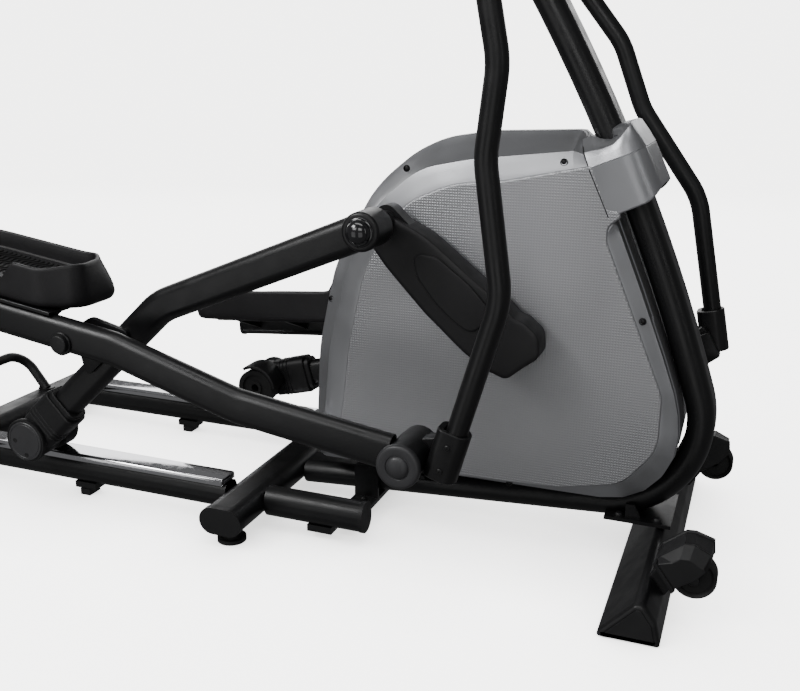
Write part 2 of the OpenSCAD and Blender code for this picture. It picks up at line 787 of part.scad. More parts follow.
module pedal_bar(left) {
  rear = bar_bend + turn([-bar_bend[0] - bar_back, 0], rear_rise);
  color([0.06, 0.06, 0.065]) {
    on_bar(left) difference() {
      union() {
        tube_through([rear, bar_bend, [bar_len - 24, 0.7]], 300, -bar_y) oval_tube(bar_h, bar_w, wall);
        rod(0, 0, 19, -bar_y - 19.6, -242.2);
        rod(bar_len, 0, 30, -bar_y - 30, -252);
        difference() {
          rod(bar_len, 0, 33, -bar_y - 40, -bar_y - 30);
          rod(bar_len, 0, 25, -bar_y - 41, -bar_y - 36);
        }
        intersection() {
          rod(bar_len, 0, 17, -bar_y - 46, -bar_y - 34);
          translate([bar_len, -bar_y - 12, 0]) sphere(r = 32);
        }
      }
      rod(0, 0, 10 + fit, -bar_y - 30, -235);
    }
    on_rear_leg(left) {
      translate([-150, -bar_y - 14, bar_h / 2 - 0.4]) cube([300, 124, 5.4]);
      for (x = [-110, 0, 110]) translate([x, 0, 0]) rotate([90, 0, 90]) linear_extrude(5)
        polygon([[-bar_y + 15.9, -10], [-bar_y + 108, 28.6], [-bar_y + 15.9, 28.6]]);
    }
    on_bar(left) translate([rear[0], -bar_y, rear[1]]) rotate([0, 90 - rear_rise, 0])
      translate([0, 0, -6]) linear_extrude(6) oval(bar_h + 2, bar_w + 2);
  }
}

module pedal(left) {
  color([0.05, 0.05, 0.05]) on_rear_leg(left) translate([0, -pedal_y, bar_h / 2 + 5.2]) difference() {
    linear_extrude(84) polygon(rounded([
      [-200, -62, 36], [-60, -76, 200], [130, -77, 90], [200, -50, 48], [200, 50, 48], [130, 77, 90],
      [-60, 76, 200], [-200, 62, 36]
    ]));
    translate([0, 0, 46]) linear_extrude(50) polygon(rounded([
      [-190, -53, 28], [-60, -67, 200], [126, -68, 80], [189, -43, 40], [189, 43, 40], [126, 68, 80],
      [-60, 67, 200], [-190, 53, 28]
    ]));
    side(-90, 90) polygon([[-210, 52], [-150, 53], [-90, 66], [-50, 86], [-210, 100]]);
    side(-60, 60) translate([0, -1]) polygon([
      [-150, -2], [150, -2], [140, 22], [20, 34], [-140, 34]
    ]);
    for (i = [0:8]) translate([-160 + 36 * i, 0, 43.5]) translate([0, -50, 0]) cube([12, 100, 4]);
  }
}

// ---- swing arms ----

module on_arm(left) {
  hand(left) translate([arm_x, 0, arm_z])
    rotate([0, left ? arm_tilt_right - arm_tilt_left : 0, 0]) children();
}

arm_path = [[6, -20], [30, -140], [17, -258], [44, -440], [-24, -676]];

module swing_arm(left) {
  s = front_right - [arm_x, arm_z];
  color([0.05, 0.05, 0.055]) on_arm(left) {
    difference() {
      union() {
        bent_tube(arm_path, 130, 2 * tube_r, 2 * tube_r, 2.5, -bar_y);
        rod(0, 0, 32, -bar_y - 26, -bar_y + 26);
        translate([0, -bar_y, 26]) cylinder(r = 12.4, h = 60);
      }
      rod(0, 0, 16 + fit, -bar_y - 30, -bar_y + 30);
    }
    difference() {
      union() {
        side(-bar_y - 22, -236) polygon(rounded([
          [s[0] + 39, s[1] - 26, 4], [s[0] + 38, s[1] + 10, 4], [s[0] + 54, s[1] + 42, 6], [s[0] + 92, s[1] + 40, 8],
          [s[0] + 88, s[1] + 4, 8], [s[0] + 72, s[1] - 34, 8]
        ]));
        side(-251.6, -236) polygon(rounded([
          [s[0], s[1] - 20, 0], [s[0] + 60, s[1] - 24, 0], [s[0] + 60, s[1] + 24, 0], [s[0], s[1] + 22, 0]
        ]));
        rod(s[0], s[1], 29, -251.6, -230);
      }
      bent_bar(arm_path, 130, 2 * tube_r - 2.5, 2 * tube_r - 2.5, -bar_y);
    }
  }
}

handle_path = [[1, 33], [8, 430], [-128, 748]];

module handle(left) {
  color([0.05, 0.05, 0.055]) on_arm(left) {
    tube_through(handle_path, 240, -bar_y) oval_tube(2 * tube_r, 2 * tube_r, 2.5);
    rod(0, 60, 7, -bar_y - 24, -bar_y - 13);
  }
}

grip_end = 6;

module grip(left) {
  start = handle_path[0] + (handle_path[1] - handle_path[0]) * 0.65;
  color([0.04, 0.04, 0.04]) on_arm(left) {
    tube_through([start, handle_path[1], longer(handle_path, grip_end)[2]], 240, -bar_y) difference() {
      circle(tube_r + 4);
      circle(tube_r + 0.1);
    }
    translate([handle_path[2][0], -bar_y, handle_path[2][1]]) rotate([0, 90 - heading(handle_path, 1), 0])
      translate([0, 0, 0.3]) cylinder(r = tube_r + 2, h = grip_end - 1.3);
  }
}

module pivot_tube() {
  color([0.07, 0.07, 0.075]) {
    rod(arm_x, arm_z, pivot_r, -bar_y + 27, bar_y - 27);
    both() {
      rod(arm_x, arm_z, 16, -bar_y - 27, -bar_y + 27.5);
      rod(arm_x, arm_z, 24, -bar_y - 33, -bar_y - 26.5);
      rod(arm_x, arm_z, 25, -mast_w / 2 - 14, -mast_w / 2 - 0.2);
    }
  }
}

// ---- handlebar and console ----

bar_z = 1255;
bar_x = -446;
clamp_tilt = 11.3;

module fixed_handlebar() {
  color([0.05, 0.05, 0.055]) {
    both() translate([bar_x, -2, bar_z]) rotate([90, 0, 0])
      sweep([[126], [60, 72, 152], [120]]) circle(14);
    translate([bar_x, 0, bar_z]) rotate([0, -clamp_tilt, 0]) translate([-18, -32, -20]) cube([38.8, 64, 40]);
  }
}

module pulse_sensors() {
  color([0.75, 0.75, 0.77]) both() difference() {
    rod(bar_x, bar_z, 15.6, -124, -64);
    rod(bar_x, bar_z, 14 + fit, -130, -60);
    translate([bar_x - 20, -95, bar_z - 20]) cube([40, 2, 40]);
  }
}

module on_console() {
  translate([head_x - 2, 0, head_z + 87]) rotate([0, -40, 0]) children();
}

module console() {
  color([0.07, 0.07, 0.08]) {
    difference() {
      on_console() difference() {
        union() {
          linear_extrude(38) polygon(rounded([
            [-95, -120, 26], [-70, -155, 40], [95, -165, 30], [95, 165, 30], [-70, 155, 40], [-95, 120, 26]
          ]));
          translate([-104, -110, 30]) cube([14, 220, 22]);
        }
        translate([-18, -98, 34]) cube([104, 196, 6]);
        for (y = [-60, 0, 60]) translate([-56, y, 30]) cylinder(r = 11.3, h = 20);
        translate([-100, -100, 38]) cube([7, 200, 20]);
      }
      translate([head_x - 56, -46, head_z - 20]) cube([112, 92, 66]);
    }
    difference() {
      translate([head_x - 52, -36, head_z + 46.2]) cube([100, 72, 52]);
      on_console() translate([-200, -100, 0]) cube([400, 200, 80]);
      for (s = [-1, 1]) translate([head_x + s * 40, 0, head_z + 40]) cylinder(r = 8, h = 20);
    }
  }
}

module console_screen() {
  color([0.02, 0.03, 0.04]) on_console() translate([-17.5, -97.5, 34.2]) cube([103, 195, 3]);
}

module button(y) {
  color([0.5, 0.5, 0.52]) on_console() translate([-56, y, 32.5]) cylinder(r = 11, h = 8);
}

loop_frame();
upper_mast();
front_stabiliser();
stabiliser_caps();
saddle_brackets();
frame_bolts();
wheel_housings();
mid_beam();
rear_beam();
end_caps();
rail_tubes();
running_rails();
lift_handle();
hand(false) cover_half_shell();  // cover_right
hand(true) cover_half_shell();  // cover_left
cover_screws();
mast_shroud();
inner_frame();
crank_bearings();
drive_belt();
pivot_tube();
fixed_handlebar();
pulse_sensors();
console();
console_screen();
power_inlet();
level_foot(mid_x, 22 - beam_half);  // foot_mid_right
level_foot(mid_x, beam_half - 22);  // foot_mid_left
level_foot(rear_x, 22 - beam_half);  // foot_rear_right
level_foot(rear_x, beam_half - 22);  // foot_rear_left
carry_wheel();  // carry_wheel_right
hand(true) carry_wheel();  // carry_wheel_left
button(-60);  // button_minus
button(0);  // button_start
button(60);  // button_plus
crank_axle();
drive_pulley();
crank_arm(false);  // crank_arm_right
crank_arm(true);  // crank_arm_left
crank_cover(false);  // crank_cover_right
crank_cover(true);  // crank_cover_left
flywheel();
idler_arm();
magnet_brake();
link(false);  // link_right
link(true);  // link_left
roller(false);  // roller_right
roller(true);  // roller_left
roller_boot(false);  // roller_boot_right
roller_boot(true);  // roller_boot_left
pedal_bar(false);  // pedal_bar_right
pedal_bar(true);  // pedal_bar_left
pedal(false);  // pedal_right
pedal(true);  // pedal_left
swing_arm(false);  // swing_arm_right
swing_arm(true);  // swing_arm_left
handle(false);  // handle_right
handle(true);  // handle_left
grip(false);  // grip_right
grip(true);  // grip_left
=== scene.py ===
import json
import math

import bmesh
import bpy
from mathutils import Matrix, Vector


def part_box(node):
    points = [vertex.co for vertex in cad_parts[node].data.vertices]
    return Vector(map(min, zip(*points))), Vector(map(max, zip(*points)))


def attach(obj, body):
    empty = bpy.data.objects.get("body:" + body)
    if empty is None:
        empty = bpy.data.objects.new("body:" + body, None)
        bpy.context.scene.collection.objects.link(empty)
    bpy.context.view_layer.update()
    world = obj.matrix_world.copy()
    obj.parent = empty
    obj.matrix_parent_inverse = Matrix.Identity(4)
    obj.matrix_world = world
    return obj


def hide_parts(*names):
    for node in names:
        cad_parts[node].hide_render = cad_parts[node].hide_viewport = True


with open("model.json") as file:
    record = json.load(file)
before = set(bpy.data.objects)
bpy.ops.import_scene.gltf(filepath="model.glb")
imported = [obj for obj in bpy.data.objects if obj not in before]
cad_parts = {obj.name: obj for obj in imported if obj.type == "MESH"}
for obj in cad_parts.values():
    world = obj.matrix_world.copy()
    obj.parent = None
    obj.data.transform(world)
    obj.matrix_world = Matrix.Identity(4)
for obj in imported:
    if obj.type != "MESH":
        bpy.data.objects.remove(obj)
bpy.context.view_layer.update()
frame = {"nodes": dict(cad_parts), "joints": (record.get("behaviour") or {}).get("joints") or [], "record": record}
nodes = frame["nodes"]
joints = {j["name"]: j for j in frame["joints"]}

# ---------------------------------------------------------------- camera

VIEW_PLACE = (0.122, -1.494, 0.772)
VIEW_TURN = (math.radians(90 - 16.63), math.radians(-0.29), math.radians(20.93))
FOCAL = 43.7


def add_camera():
    data = bpy.data.cameras.new("camera")
    data.lens = FOCAL
    data.sensor_width = 36.0
    camera = bpy.data.objects.new("camera", data)
    camera.rotation_euler = VIEW_TURN
    camera.location = VIEW_PLACE
    bpy.context.scene.collection.objects.link(camera)
    bpy.context.scene.camera = camera


add_camera()

# ---------------------------------------------------------------- node helpers


class Look:
    """A principled material whose nodes are added one call at a time."""

    def __init__(self, name, colour, rough, metal=0.0, **sockets):
        self.mat = bpy.data.materials.new(name)
        self.mat.use_nodes = True
        self.tree = self.mat.node_tree
        self.shader = self.tree.nodes["Principled BSDF"]
        self.shader.inputs["Base Color"].default_value = (*colour, 1)
        self.shader.inputs["Roughness"].default_value = rough
        self.shader.inputs["Metallic"].default_value = metal
        for key, value in sockets.items():
            self.shader.inputs[key.replace("_", " ")].default_value = value
        self.place = self.node("ShaderNodeTexCoord").outputs["Object"]

    def node(self, kind, **values):
        made = self.tree.nodes.new(kind)
        for key, value in values.items():
            setattr(made, key, value)
        return made

    def link(self, a, b):
        self.tree.links.new(a, b)

    def noise(self, scale, detail):
        made = self.node("ShaderNodeTexNoise")
        made.inputs["Scale"].default_value = scale
        made.inputs["Detail"].default_value = detail
        self.link(self.place, made.inputs["Vector"])
        return made.outputs["Fac"]

    def cells(self, scale):
        made = self.node("ShaderNodeTexVoronoi", feature="F1")
        made.inputs["Scale"].default_value = scale
        self.link(self.place, made.inputs["Vector"])
        return made.outputs["Distance"]

    def between(self, value, low, high, to_low, to_high):
        made = self.node("ShaderNodeMapRange")
        for key, number in zip(("From Min", "From Max", "To Min", "To Max"), (low, high, to_low, to_high)):
            made.inputs[key].default_value = number
        self.link(value, made.inputs["Value"])
        return made.outputs["Result"]

    def maths(self, kind, a, b):
        made = self.node("ShaderNodeMath", operation=kind)
        for socket, value in zip(made.inputs, (a, b)):
            if isinstance(value, (int, float)):
                socket.default_value = value
            else:
                self.link(value, socket)
        return made.outputs["Value"]

    def ramp(self, value, stops):
        made = self.node("ShaderNodeValToRGB")
        bar = made.color_ramp.elements
        while len(bar) < len(stops):
            bar.new(0.5)
        for stop, (at, colour) in zip(bar, stops):
            stop.position = at
            stop.color = (*colour, 1)
        self.link(value, made.inputs["Fac"])
        return made.outputs["Color"]

    def colour(self, value):
        self.link(value, self.shader.inputs["Base Color"])

    def rough(self, value):
        self.link(value, self.shader.inputs["Roughness"])

    def bump(self, *layers):
        """layers are (height, strength, distance in metres)."""
        last = None
        for height, strength, distance in layers:
            made = self.node("ShaderNodeBump")
            made.inputs["Strength"].default_value = strength
            made.inputs["Distance"].default_value = distance
            self.link(height, made.inputs["Height"])
            if last:
                self.link(last, made.inputs["Normal"])
            last = made.outputs["Normal"]
        self.link(last, self.shader.inputs["Normal"])


def tinted(look, colour, spread, scale):
    """Uneven tone over a surface: soft clouds, a fraction spread either side."""
    low, high = (tuple(c * side for c in colour) for side in (1 - spread, 1 + spread))
    look.colour(look.ramp(look.noise(scale, 4.0), [(0.3, low), (0.7, high)]))


# ---------------------------------------------------------------- materials


def surface(name, colour, rough, metal=0.0, tint=None, grain=(), wear=None, **sockets):
    """A material built from the same few layers.

    tint is (spread, scale) of the uneven tone. grain lists bump layers as (scale, detail, strength,
    distance in metres), where a detail of None means cells in place of clouds. wear is the uneven
    roughness as (scale, detail, low noise, high noise, smoothest, roughest).
    """
    look = Look(name, colour, rough, metal, **sockets)
    if tint:
        tinted(look, colour, *tint)
    if grain:
        look.bump(*((look.cells(scale) if detail is None else look.noise(scale, detail), strength, distance)
                    for scale, detail, strength, distance in grain))
    if wear:
        scale, detail, *span = wear
        look.rough(look.between(look.noise(scale, detail), *span))
    return look.mat


def mesh_panel():
    """Silver plastic face pressed with a fine square mesh."""
    colour = (0.38, 0.383, 0.395)
    mesh_pitch = 0.0042
    look = Look("mesh_pressed_grey_plastic", colour, 0.38, 0.75)
    tinted(look, colour, 0.05, 3.0)
    turns = 2 * math.pi / mesh_pitch
    axes = look.node("ShaderNodeSeparateXYZ")
    look.link(look.place, axes.inputs["Vector"])
    waves = [look.maths("SINE", look.maths("MULTIPLY", axes.outputs[i], turns), 0) for i in (0, 2)]
    weave = look.maths("MAXIMUM", waves[0], waves[1])
    look.bump((look.noise(300.0, 2.0), 0.06, 0.0003), (weave, 0.60, 0.0004))
    look.rough(look.between(weave, 0.0, 1.0, 0.44, 0.34))
    return look.mat


def powder_coat():
    return surface(
        "powder_coat_black", (0.0055, 0.0055, 0.006), 0.34, tint=(0.18, 9.0), Specular_IOR_Level=0.42,
        grain=[(210.0, 1.0, 0.10, 0.0006), (1400.0, 2.0, 0.22, 0.0002)],
        wear=(35.0, 3.0, 0.3, 0.7, 0.30, 0.42))


def silver_plastic():
    return surface(
        "metallic_grey_plastic", (0.40, 0.405, 0.42), 0.34, 0.85, tint=(0.04, 3.0),
        grain=[(500.0, 2.0, 0.05, 0.0002), (5200.0, None, 0.10, 0.0001)],
        wear=(24.0, 3.0, 0.3, 0.7, 0.33, 0.40))


def grained_plastic():
    return surface(
        "grained_black_plastic", (0.007, 0.007, 0.0075), 0.45, tint=(0.15, 14.0), Specular_IOR_Level=0.4,
        grain=[(260.0, 2.0, 0.12, 0.0004), (900.0, None, 0.30, 0.00025)],
        wear=(60.0, 3.0, 0.3, 0.7, 0.40, 0.52))


def zinc():
    return surface(
        "zinc_plated_steel", (0.36, 0.36, 0.37), 0.34, 1.0, tint=(0.2, 60.0),
        grain=[(900.0, 2.0, 0.15, 0.0002)], wear=(400.0, 3.0, 0.3, 0.7, 0.26, 0.46))


def chrome():
    return surface(
        "chromed_steel", (0.78, 0.78, 0.80), 0.09, 1.0,
        grain=[(40.0, 1.0, 0.02, 0.0003)], wear=(90.0, 4.0, 0.35, 0.75, 0.06, 0.16))


def rubber():
    return surface(
        "moulded_rubber", (0.010, 0.010, 0.010), 0.62, tint=(0.25, 40.0), Specular_IOR_Level=0.35,
        grain=[(700.0, 4.0, 0.35, 0.0004)], wear=(80.0, 3.0, 0.3, 0.7, 0.55, 0.72))


def foam():
    return surface(
        "foam_grip", (0.010, 0.010, 0.0105), 0.85, tint=(0.3, 50.0), Specular_IOR_Level=0.3,
        grain=[(260.0, 3.0, 0.25, 0.0006), (1500.0, None, 0.8, 0.0004)])


def iron():
    return surface(
        "turned_iron", (0.20, 0.20, 0.205), 0.42, 1.0, tint=(0.25, 30.0), grain=[(500.0, 4.0, 0.3, 0.0003)])


def alloy():
    return surface(
        "anodised_alloy", (0.42, 0.42, 0.44), 0.38, 1.0, tint=(0.12, 40.0),
        grain=[(800.0, 3.0, 0.2, 0.0002)])


def screen():
    return surface(
        "screen_glass", (0.004, 0.005, 0.007), 0.06, wear=(40.0, 3.0, 0.3, 0.8, 0.04, 0.12),
        Coat_Weight=0.6)


def key_plastic():
    return surface(
        "key_plastic", (0.28, 0.28, 0.30), 0.42, tint=(0.08, 120.0), grain=[(900.0, 2.0, 0.2, 0.0002)])


# painted highlight: a paler tone than the cover, standing in for the light caught along the seam
def seam_highlight_plastic():
    return surface(
        "seam_bead_painted_highlight", (0.55, 0.555, 0.56), 0.42, 0.1, tint=(0.05, 12.0), grain=[(600.0, 2.0, 0.08, 0.0002)])


def crank_plastic():
    return surface(
        "fine_grained_plastic", (0.0065, 0.0062, 0.0070), 0.50, tint=(0.12, 10.0), Specular_IOR_Level=0.4,
        grain=[(240.0, 2.0, 0.08, 0.0004), (1800.0, None, 0.22, 0.0002)],
        wear=(40.0, 3.0, 0.3, 0.7, 0.46, 0.56))


def gloss_cap():
    return surface(
        "polished_black_cap", (0.008, 0.008, 0.009), 0.14, tint=(0.2, 60.0), Coat_Weight=0.5,
        grain=[(400.0, 2.0, 0.06, 0.0003)], wear=(160.0, 4.0, 0.3, 0.75, 0.09, 0.24))


def soft_cap():
    return surface(
        "soft_touch_cap", (0.030, 0.030, 0.032), 0.42, tint=(0.10, 25.0),
        grain=[(1500.0, None, 0.2, 0.0002)])


def pedal_plastic():
    return surface(
        "pedal_plastic", (0.0075, 0.0070, 0.0080), 0.44, tint=(0.14, 12.0), Specular_IOR_Level=0.4,
        grain=[(180.0, 2.0, 0.08, 0.0005), (1100.0, None, 0.26, 0.00025)],
        wear=(50.0, 3.0, 0.3, 0.7, 0.40, 0.50))


# Near-black: the collar's real dark joint line, and painted shade standing in for the inside of the boot caps'
# screw holes.
def dark_joint_and_hole_shade():
    return surface("joint_line_and_painted_hole_shade", (0.003, 0.003, 0.003), 0.7, tint=(0.3, 200.0))


MATERIALS = {
    "black_steel": powder_coat(),
    "silver_plastic": silver_plastic(),
    "black_plastic": grained_plastic(),
    "zinc_steel": zinc(),
    "chromed_steel": chrome(),
    "wheel_rubber": rubber(),
    "soft_rubber": rubber(),
    "grey_iron": iron(),
    "cast_alloy": alloy(),
    "screen_glass": screen(),
    "button_plastic": key_plastic(),
}
FOAM = foam()
MESH_PANEL = mesh_panel()
SEAM_PAINTED_HIGHLIGHT = seam_highlight_plastic()
CRANK_PLASTIC = crank_plastic()
GLOSS_CAP = gloss_cap()
SOFT_CAP = soft_cap()
PEDAL_PLASTIC = pedal_plastic()
DARK_JOINT_AND_HOLE_SHADE = dark_joint_and_hole_shade()


def paint(obj, material):
    obj.data.materials.clear()
    obj.data.materials.append(material)


for part in frame["record"]["subparts"]:
    paint(nodes[part["node"]], MATERIALS[part["material_slot"]])
for grip in ("grip_right", "grip_left"):
    paint(nodes[grip], FOAM)

# ---------------------------------------------------------------- mesh helpers

MM = 0.001
SMOOTH_ANGLE = math.radians(38)


def turned(x, z, angle):
    c, s = math.cos(angle), math.sin(angle)
    return x * c - z * s, x * s + z * c


def rounded(points, steps=8):
    """Outline with its corners rounded; each point is (x, z, radius) in millimetres."""
    out = []
    for i, (x, z, r) in enumerate(points):
        here = Vector((x, z))
        before = Vector(points[i - 1][:2])
        after = Vector(points[(i + 1) % len(points)][:2])
        if r <= 0:
            out.append(here)
            continue
        u, v = (before - here).normalized(), (after - here).normalized()
        half = u.angle(v) / 2
        reach = r / math.tan(half)
        middle = here + (u + v).normalized() * r / math.sin(half)
        start = here + u * reach - middle
        sign = -1 if u.x * v.y - u.y * v.x > 0 else 1
        for k in range(steps + 1):
            out.append(middle + Vector(turned(start.x, start.y, sign * (math.pi - 2 * half) * k / steps)))
    return out


def even(points, count):
    """The same closed outline with its points evenly spaced."""
    lengths = [(points[(i + 1) % len(points)] - p).length for i, p in enumerate(points)]
    step, out, walked, i = sum(lengths) / count, [], 0.0, 0
    for k in range(count):
        while walked + lengths[i] < k * step:
            walked += lengths[i]
            i += 1
        out.append(points[i].lerp(points[(i + 1) % len(points)], (k * step - walked) / lengths[i]))
    return out


def inset(points, depth):
    """Outline moved inwards; depth is a number or a function of the inward direction."""
    area = sum(p.x * q.y - q.x * p.y for p, q in zip(points, points[1:] + points[:1]))
    out = []
    for i, here in enumerate(points):
        along = (points[(i + 1) % len(points)] - points[i - 1]).normalized()
        inward = Vector((-along.y, along.x)) * (1 if area > 0 else -1)
        out.append(here + inward * (depth(inward) if callable(depth) else depth))
    return out


def loft(rings, first_cap=True, last_cap=True):
    """bmesh skin through closed rings of the same number of points."""
    bm = bmesh.new()
    rows = [[bm.verts.new(p) for p in ring] for ring in rings]
    n = len(rings[0])
    for a, b in zip(rows, rows[1:]):
        for j in range(n):
            bm.faces.new((a[j], a[(j + 1) % n], b[(j + 1) % n], b[j]))
    if first_cap:
        bm.faces.new(rows[0])
    if last_cap:
        bm.faces.new(rows[-1][::-1])
    return bm


def join(*parts):
    """One bmesh out of several."""
    whole = bmesh.new()
    for part in parts:
        mesh = bpy.data.meshes.new("part")
        part.to_mesh(mesh)
        part.free()
        whole.from_mesh(mesh)
        bpy.data.meshes.remove(mesh)
    return whole


def moved(bm, matrix):
    bmesh.ops.transform(bm, matrix=matrix, verts=bm.verts)
    return bm


def at(x=0, y=0, z=0):
    return Matrix.Translation((x, y, z))


def spun(angle, axis):
    return Matrix.Rotation(angle, 4, axis)


def rings_at(outline_rings):
    """(outline, y) pairs turned into rings of points."""
    return [[Vector((p.x, y, p.y)) for p in outline] for outline, y in outline_rings]


def skin(outline, steps, **caps):
    """Side-view outline lofted through (inset, y) steps."""
    return loft(rings_at([(inset(outline, depth), y) for depth, y in steps]), **caps)


def plate(outline, y0, y1, soft=1.5, steps=3):
    """Side-view outline drawn from y0 to y1 with both edges rounded."""
    sign = 1 if y1 > y0 else -1
    turns = [math.pi / 2 * k / steps for k in range(steps + 1)]
    first = [(soft * (1 - math.sin(a)), y0 + sign * soft * (1 - math.cos(a))) for a in turns]
    last = [(soft * (1 - math.cos(a)), y1 - sign * soft * (1 - math.sin(a))) for a in turns]
    return skin(outline, first + last)


def lathe(profile, count=48):
    """Profile of (radius, height) turned about the local z axis. A radius of 0 closes the end."""
    bm = bmesh.new()
    rows = []
    for r, h in profile:
        if r == 0:
            rows.append([bm.verts.new((0, 0, h))])
        else:
            rows.append([bm.verts.new((r * math.cos(2 * math.pi * j / count),
                                       r * math.sin(2 * math.pi * j / count), h)) for j in range(count)])
    for a, b in zip(rows, rows[1:]):
        for j in range(count):
            k = (j + 1) % count
            loop = ([a[j], a[k]] if len(a) > 1 else [a[0]]) + ([b[k], b[j]] if len(b) > 1 else [b[0]])
            bm.faces.new(loop)
    if len(rows[0]) > 1 and len(rows[-1]) > 1:
        if (profile[0][0], profile[0][1]) == (profile[-1][0], profile[-1][1]):
            bmesh.ops.remove_doubles(bm, verts=bm.verts, dist=1e-6)
        else:
            bm.faces.new(rows[0])
            bm.faces.new(rows[-1][::-1])
    return bm


def spindle(profile, count=48):
    """Turned piece with its axis laid along -y, so that heights grow away from the machine."""
    return moved(lathe(profile, count), spun(math.radians(90), "X"))


def soft_corner(r, h, size, steps=4):
    """Points of a quarter round on a turned profile, ending on the flat at height h."""
    turns = [math.pi / 2 * k / steps for k in range(steps + 1)]
    return [(r - size + size * math.cos(a), h - size + size * math.sin(a)) for a in turns]


def dome(radius, foot, rise, steps=8):
    """Points of a quarter ellipse on a turned profile, up to its middle."""
    turns = [math.pi / 2 * k / steps for k in range(steps)]
    return [(radius * math.cos(a), foot + rise * math.sin(a)) for a in turns] + [(0, foot + rise)]


def eased(value, start, end):
    """0 before start, 1 after end, with a smooth rise between."""
    t = min(1.0, max(0.0, (value - start) / (end - start)))
    return t * t * (3 - 2 * t)


def path_through(points, radius, steps=12):
    """Side-view stations (x, z, heading) through points, the corners bent to a radius."""
    out = []
    for i, here in enumerate(points):
        here = Vector(here)
        if i == 0 or i == len(points) - 1:
            d = Vector(points[1]) - here if i == 0 else here - Vector(points[i - 1])
            out.append((here.x, here.y, math.atan2(d.y, d.x)))
            continue
        arc = rounded([(*points[i - 1], 0), (here.x, here.y, radius), (*points[i + 1], 0)], steps)[1:-1]
        a = math.atan2(here.y - points[i - 1][1], here.x - points[i - 1][0])
        b = math.atan2(points[i + 1][1] - here.y, points[i + 1][0] - here.x)
        out.extend((p.x, p.y, a + (b - a) * k / steps) for k, p in enumerate(arc))
    return out


def stadium(w, h, count=32):
    """Section with flat sides and half-round ends, w by h."""
    d = min(w, h)
    ring = []
    for j in range(count):
        a = 2 * math.pi * (j + 0.5) / count
        ring.append((d / 2 * math.cos(a) + math.copysign((w - d) / 2, math.cos(a)),
                     d / 2 * math.sin(a) + math.copysign((h - d) / 2, math.sin(a))))
    return ring


def bent_tube(points, radius, w, h, y, wall=2.5, count=32):
    """Hollow tube of stadium section, w in the plane and h across it, through side-view points."""
    stations = path_through(points, radius)
    outer, inner = stadium(w, h, count), stadium(w - 2 * wall, h - 2 * wall, count)

    def ring(section, x, z, a):
        return [Vector((x - u * math.sin(a), y + v, z + u * math.cos(a))) for u, v in section]

    rows = [ring(outer, *s) for s in stations]
    first, last = stations[0], stations[-1]
    rows = [ring(inner, *first)] + rows + [ring(inner, *last)]
    depth = 12  # how far the open ends are hollow
    back = [(s[0] + side * depth * math.cos(s[2]), s[1] + side * depth * math.sin(s[2]), s[2])
            for s, side in ((first, 1), (last, -1))]
    rows = [ring(inner, *back[0])] + rows + [ring(inner, *back[1])]
    return loft(rows)


def piece(name, bm, body, material, place=Matrix.Identity(4), replaces=(), angle=SMOOTH_ANGLE, slot=None):
    """Turns a bmesh in millimetres into a painted piece that rides on its body.

    The name of a material slot stands for its material. The slot argument is not used.
    """
    if isinstance(material, str):
        material, slot = MATERIALS[material], material
    bmesh.ops.transform(bm, matrix=Matrix.Scale(MM, 4) @ place, verts=bm.verts)
    bmesh.ops.recalc_face_normals(bm, faces=bm.faces)
    for face in bm.faces:
        face.smooth = True
    for edge in bm.edges:
        edge.smooth = len(edge.link_faces) != 2 or edge.calc_face_angle(0) < angle
    mesh = bpy.data.meshes.new(name)
    bm.to_mesh(mesh)
    bm.free()
    obj = bpy.data.objects.new(name, mesh)
    bpy.context.scene.collection.objects.link(obj)
    paint(obj, material)
    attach(obj, body)
    if replaces:
        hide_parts(*replaces)


# ---------------------------------------------------------------- places, from the frame


def joint_place(name):
    x, y, z = joints[name]["pos_m"]
    return Vector((x / MM, y / MM, z / MM))


def side_frame(origin, angle, left):
    """Local side view (x along, z up, right side at -y) placed at a joint; the left side is its mirror."""
    mirror = Matrix.Diagonal((1, -1 if left else 1, 1, 1))
    return mirror @ at(origin.x, 0, origin.z) @ spun(-angle, "Y")


SIDES = (("right", False), ("left", True))
crank_centre = joint_place("crank_turn")
CRANK_THROW = 250
CRANK_REST = {"right": math.radians(135), "left": math.radians(-45)}
pin = {s: crank_centre + Vector((CRANK_THROW * math.cos(a), 0, CRANK_THROW * math.sin(a)))
       for s, a in CRANK_REST.items()}
axle = {s: joint_place(s + "_roller_spin") for s, _ in SIDES}
bolt = {s: joint_place(s + "_bar_pivot") for s, _ in SIDES}
link_tilt = {s: math.atan2(pin[s].z - axle[s].z, pin[s].x - axle[s].x) for s, _ in SIDES}
arm_top = {s: joint_place(s + "_arm_pivot") for s, _ in SIDES}
BAR_LENGTH, ARM_REACH = 590, 690


def lower_crossing(a, ra, b, rb):
    """Where circles about a and b cross, on the lower side."""
    gap = math.hypot(b.x - a.x, b.z - a.z)
    ux, uz = (b.x - a.x) / gap, (b.z - a.z) / gap
    along = (ra * ra - rb * rb + gap * gap) / (2 * gap)
    off = math.sqrt(ra * ra - along * along)
    return Vector((a.x + ux * along + uz * off, 0, a.z + uz * along - ux * off))


front = {s: lower_crossing(bolt[s], BAR_LENGTH, arm_top[s], ARM_REACH) for s, _ in SIDES}
bar_tilt = {s: math.atan2(front[s].z - bolt[s].z, front[s].x - bolt[s].x) for s, _ in SIDES}
arm_tilt = {s: math.atan2(front[s].x - arm_top[s].x, arm_top[s].z - front[s].z) for s, _ in SIDES}
LINK_Y, BAR_Y, PEDAL_Y, RAIL_Y = 217.5, 290.0, 226.0, 168.0
link_place = {s: side_frame(axle[s], link_tilt[s], left) for s, left in SIDES}
bar_place = {s: side_frame(bolt[s], bar_tilt[s], left) for s, left in SIDES}
arm_place = {s: side_frame(arm_top[s], arm_tilt[s] - arm_tilt["right"], left) for s, left in SIDES}
crank_place = {s: side_frame(crank_centre, CRANK_REST[s], left) for s, left in SIDES}

# ---------------------------------------------------------------- drive covers

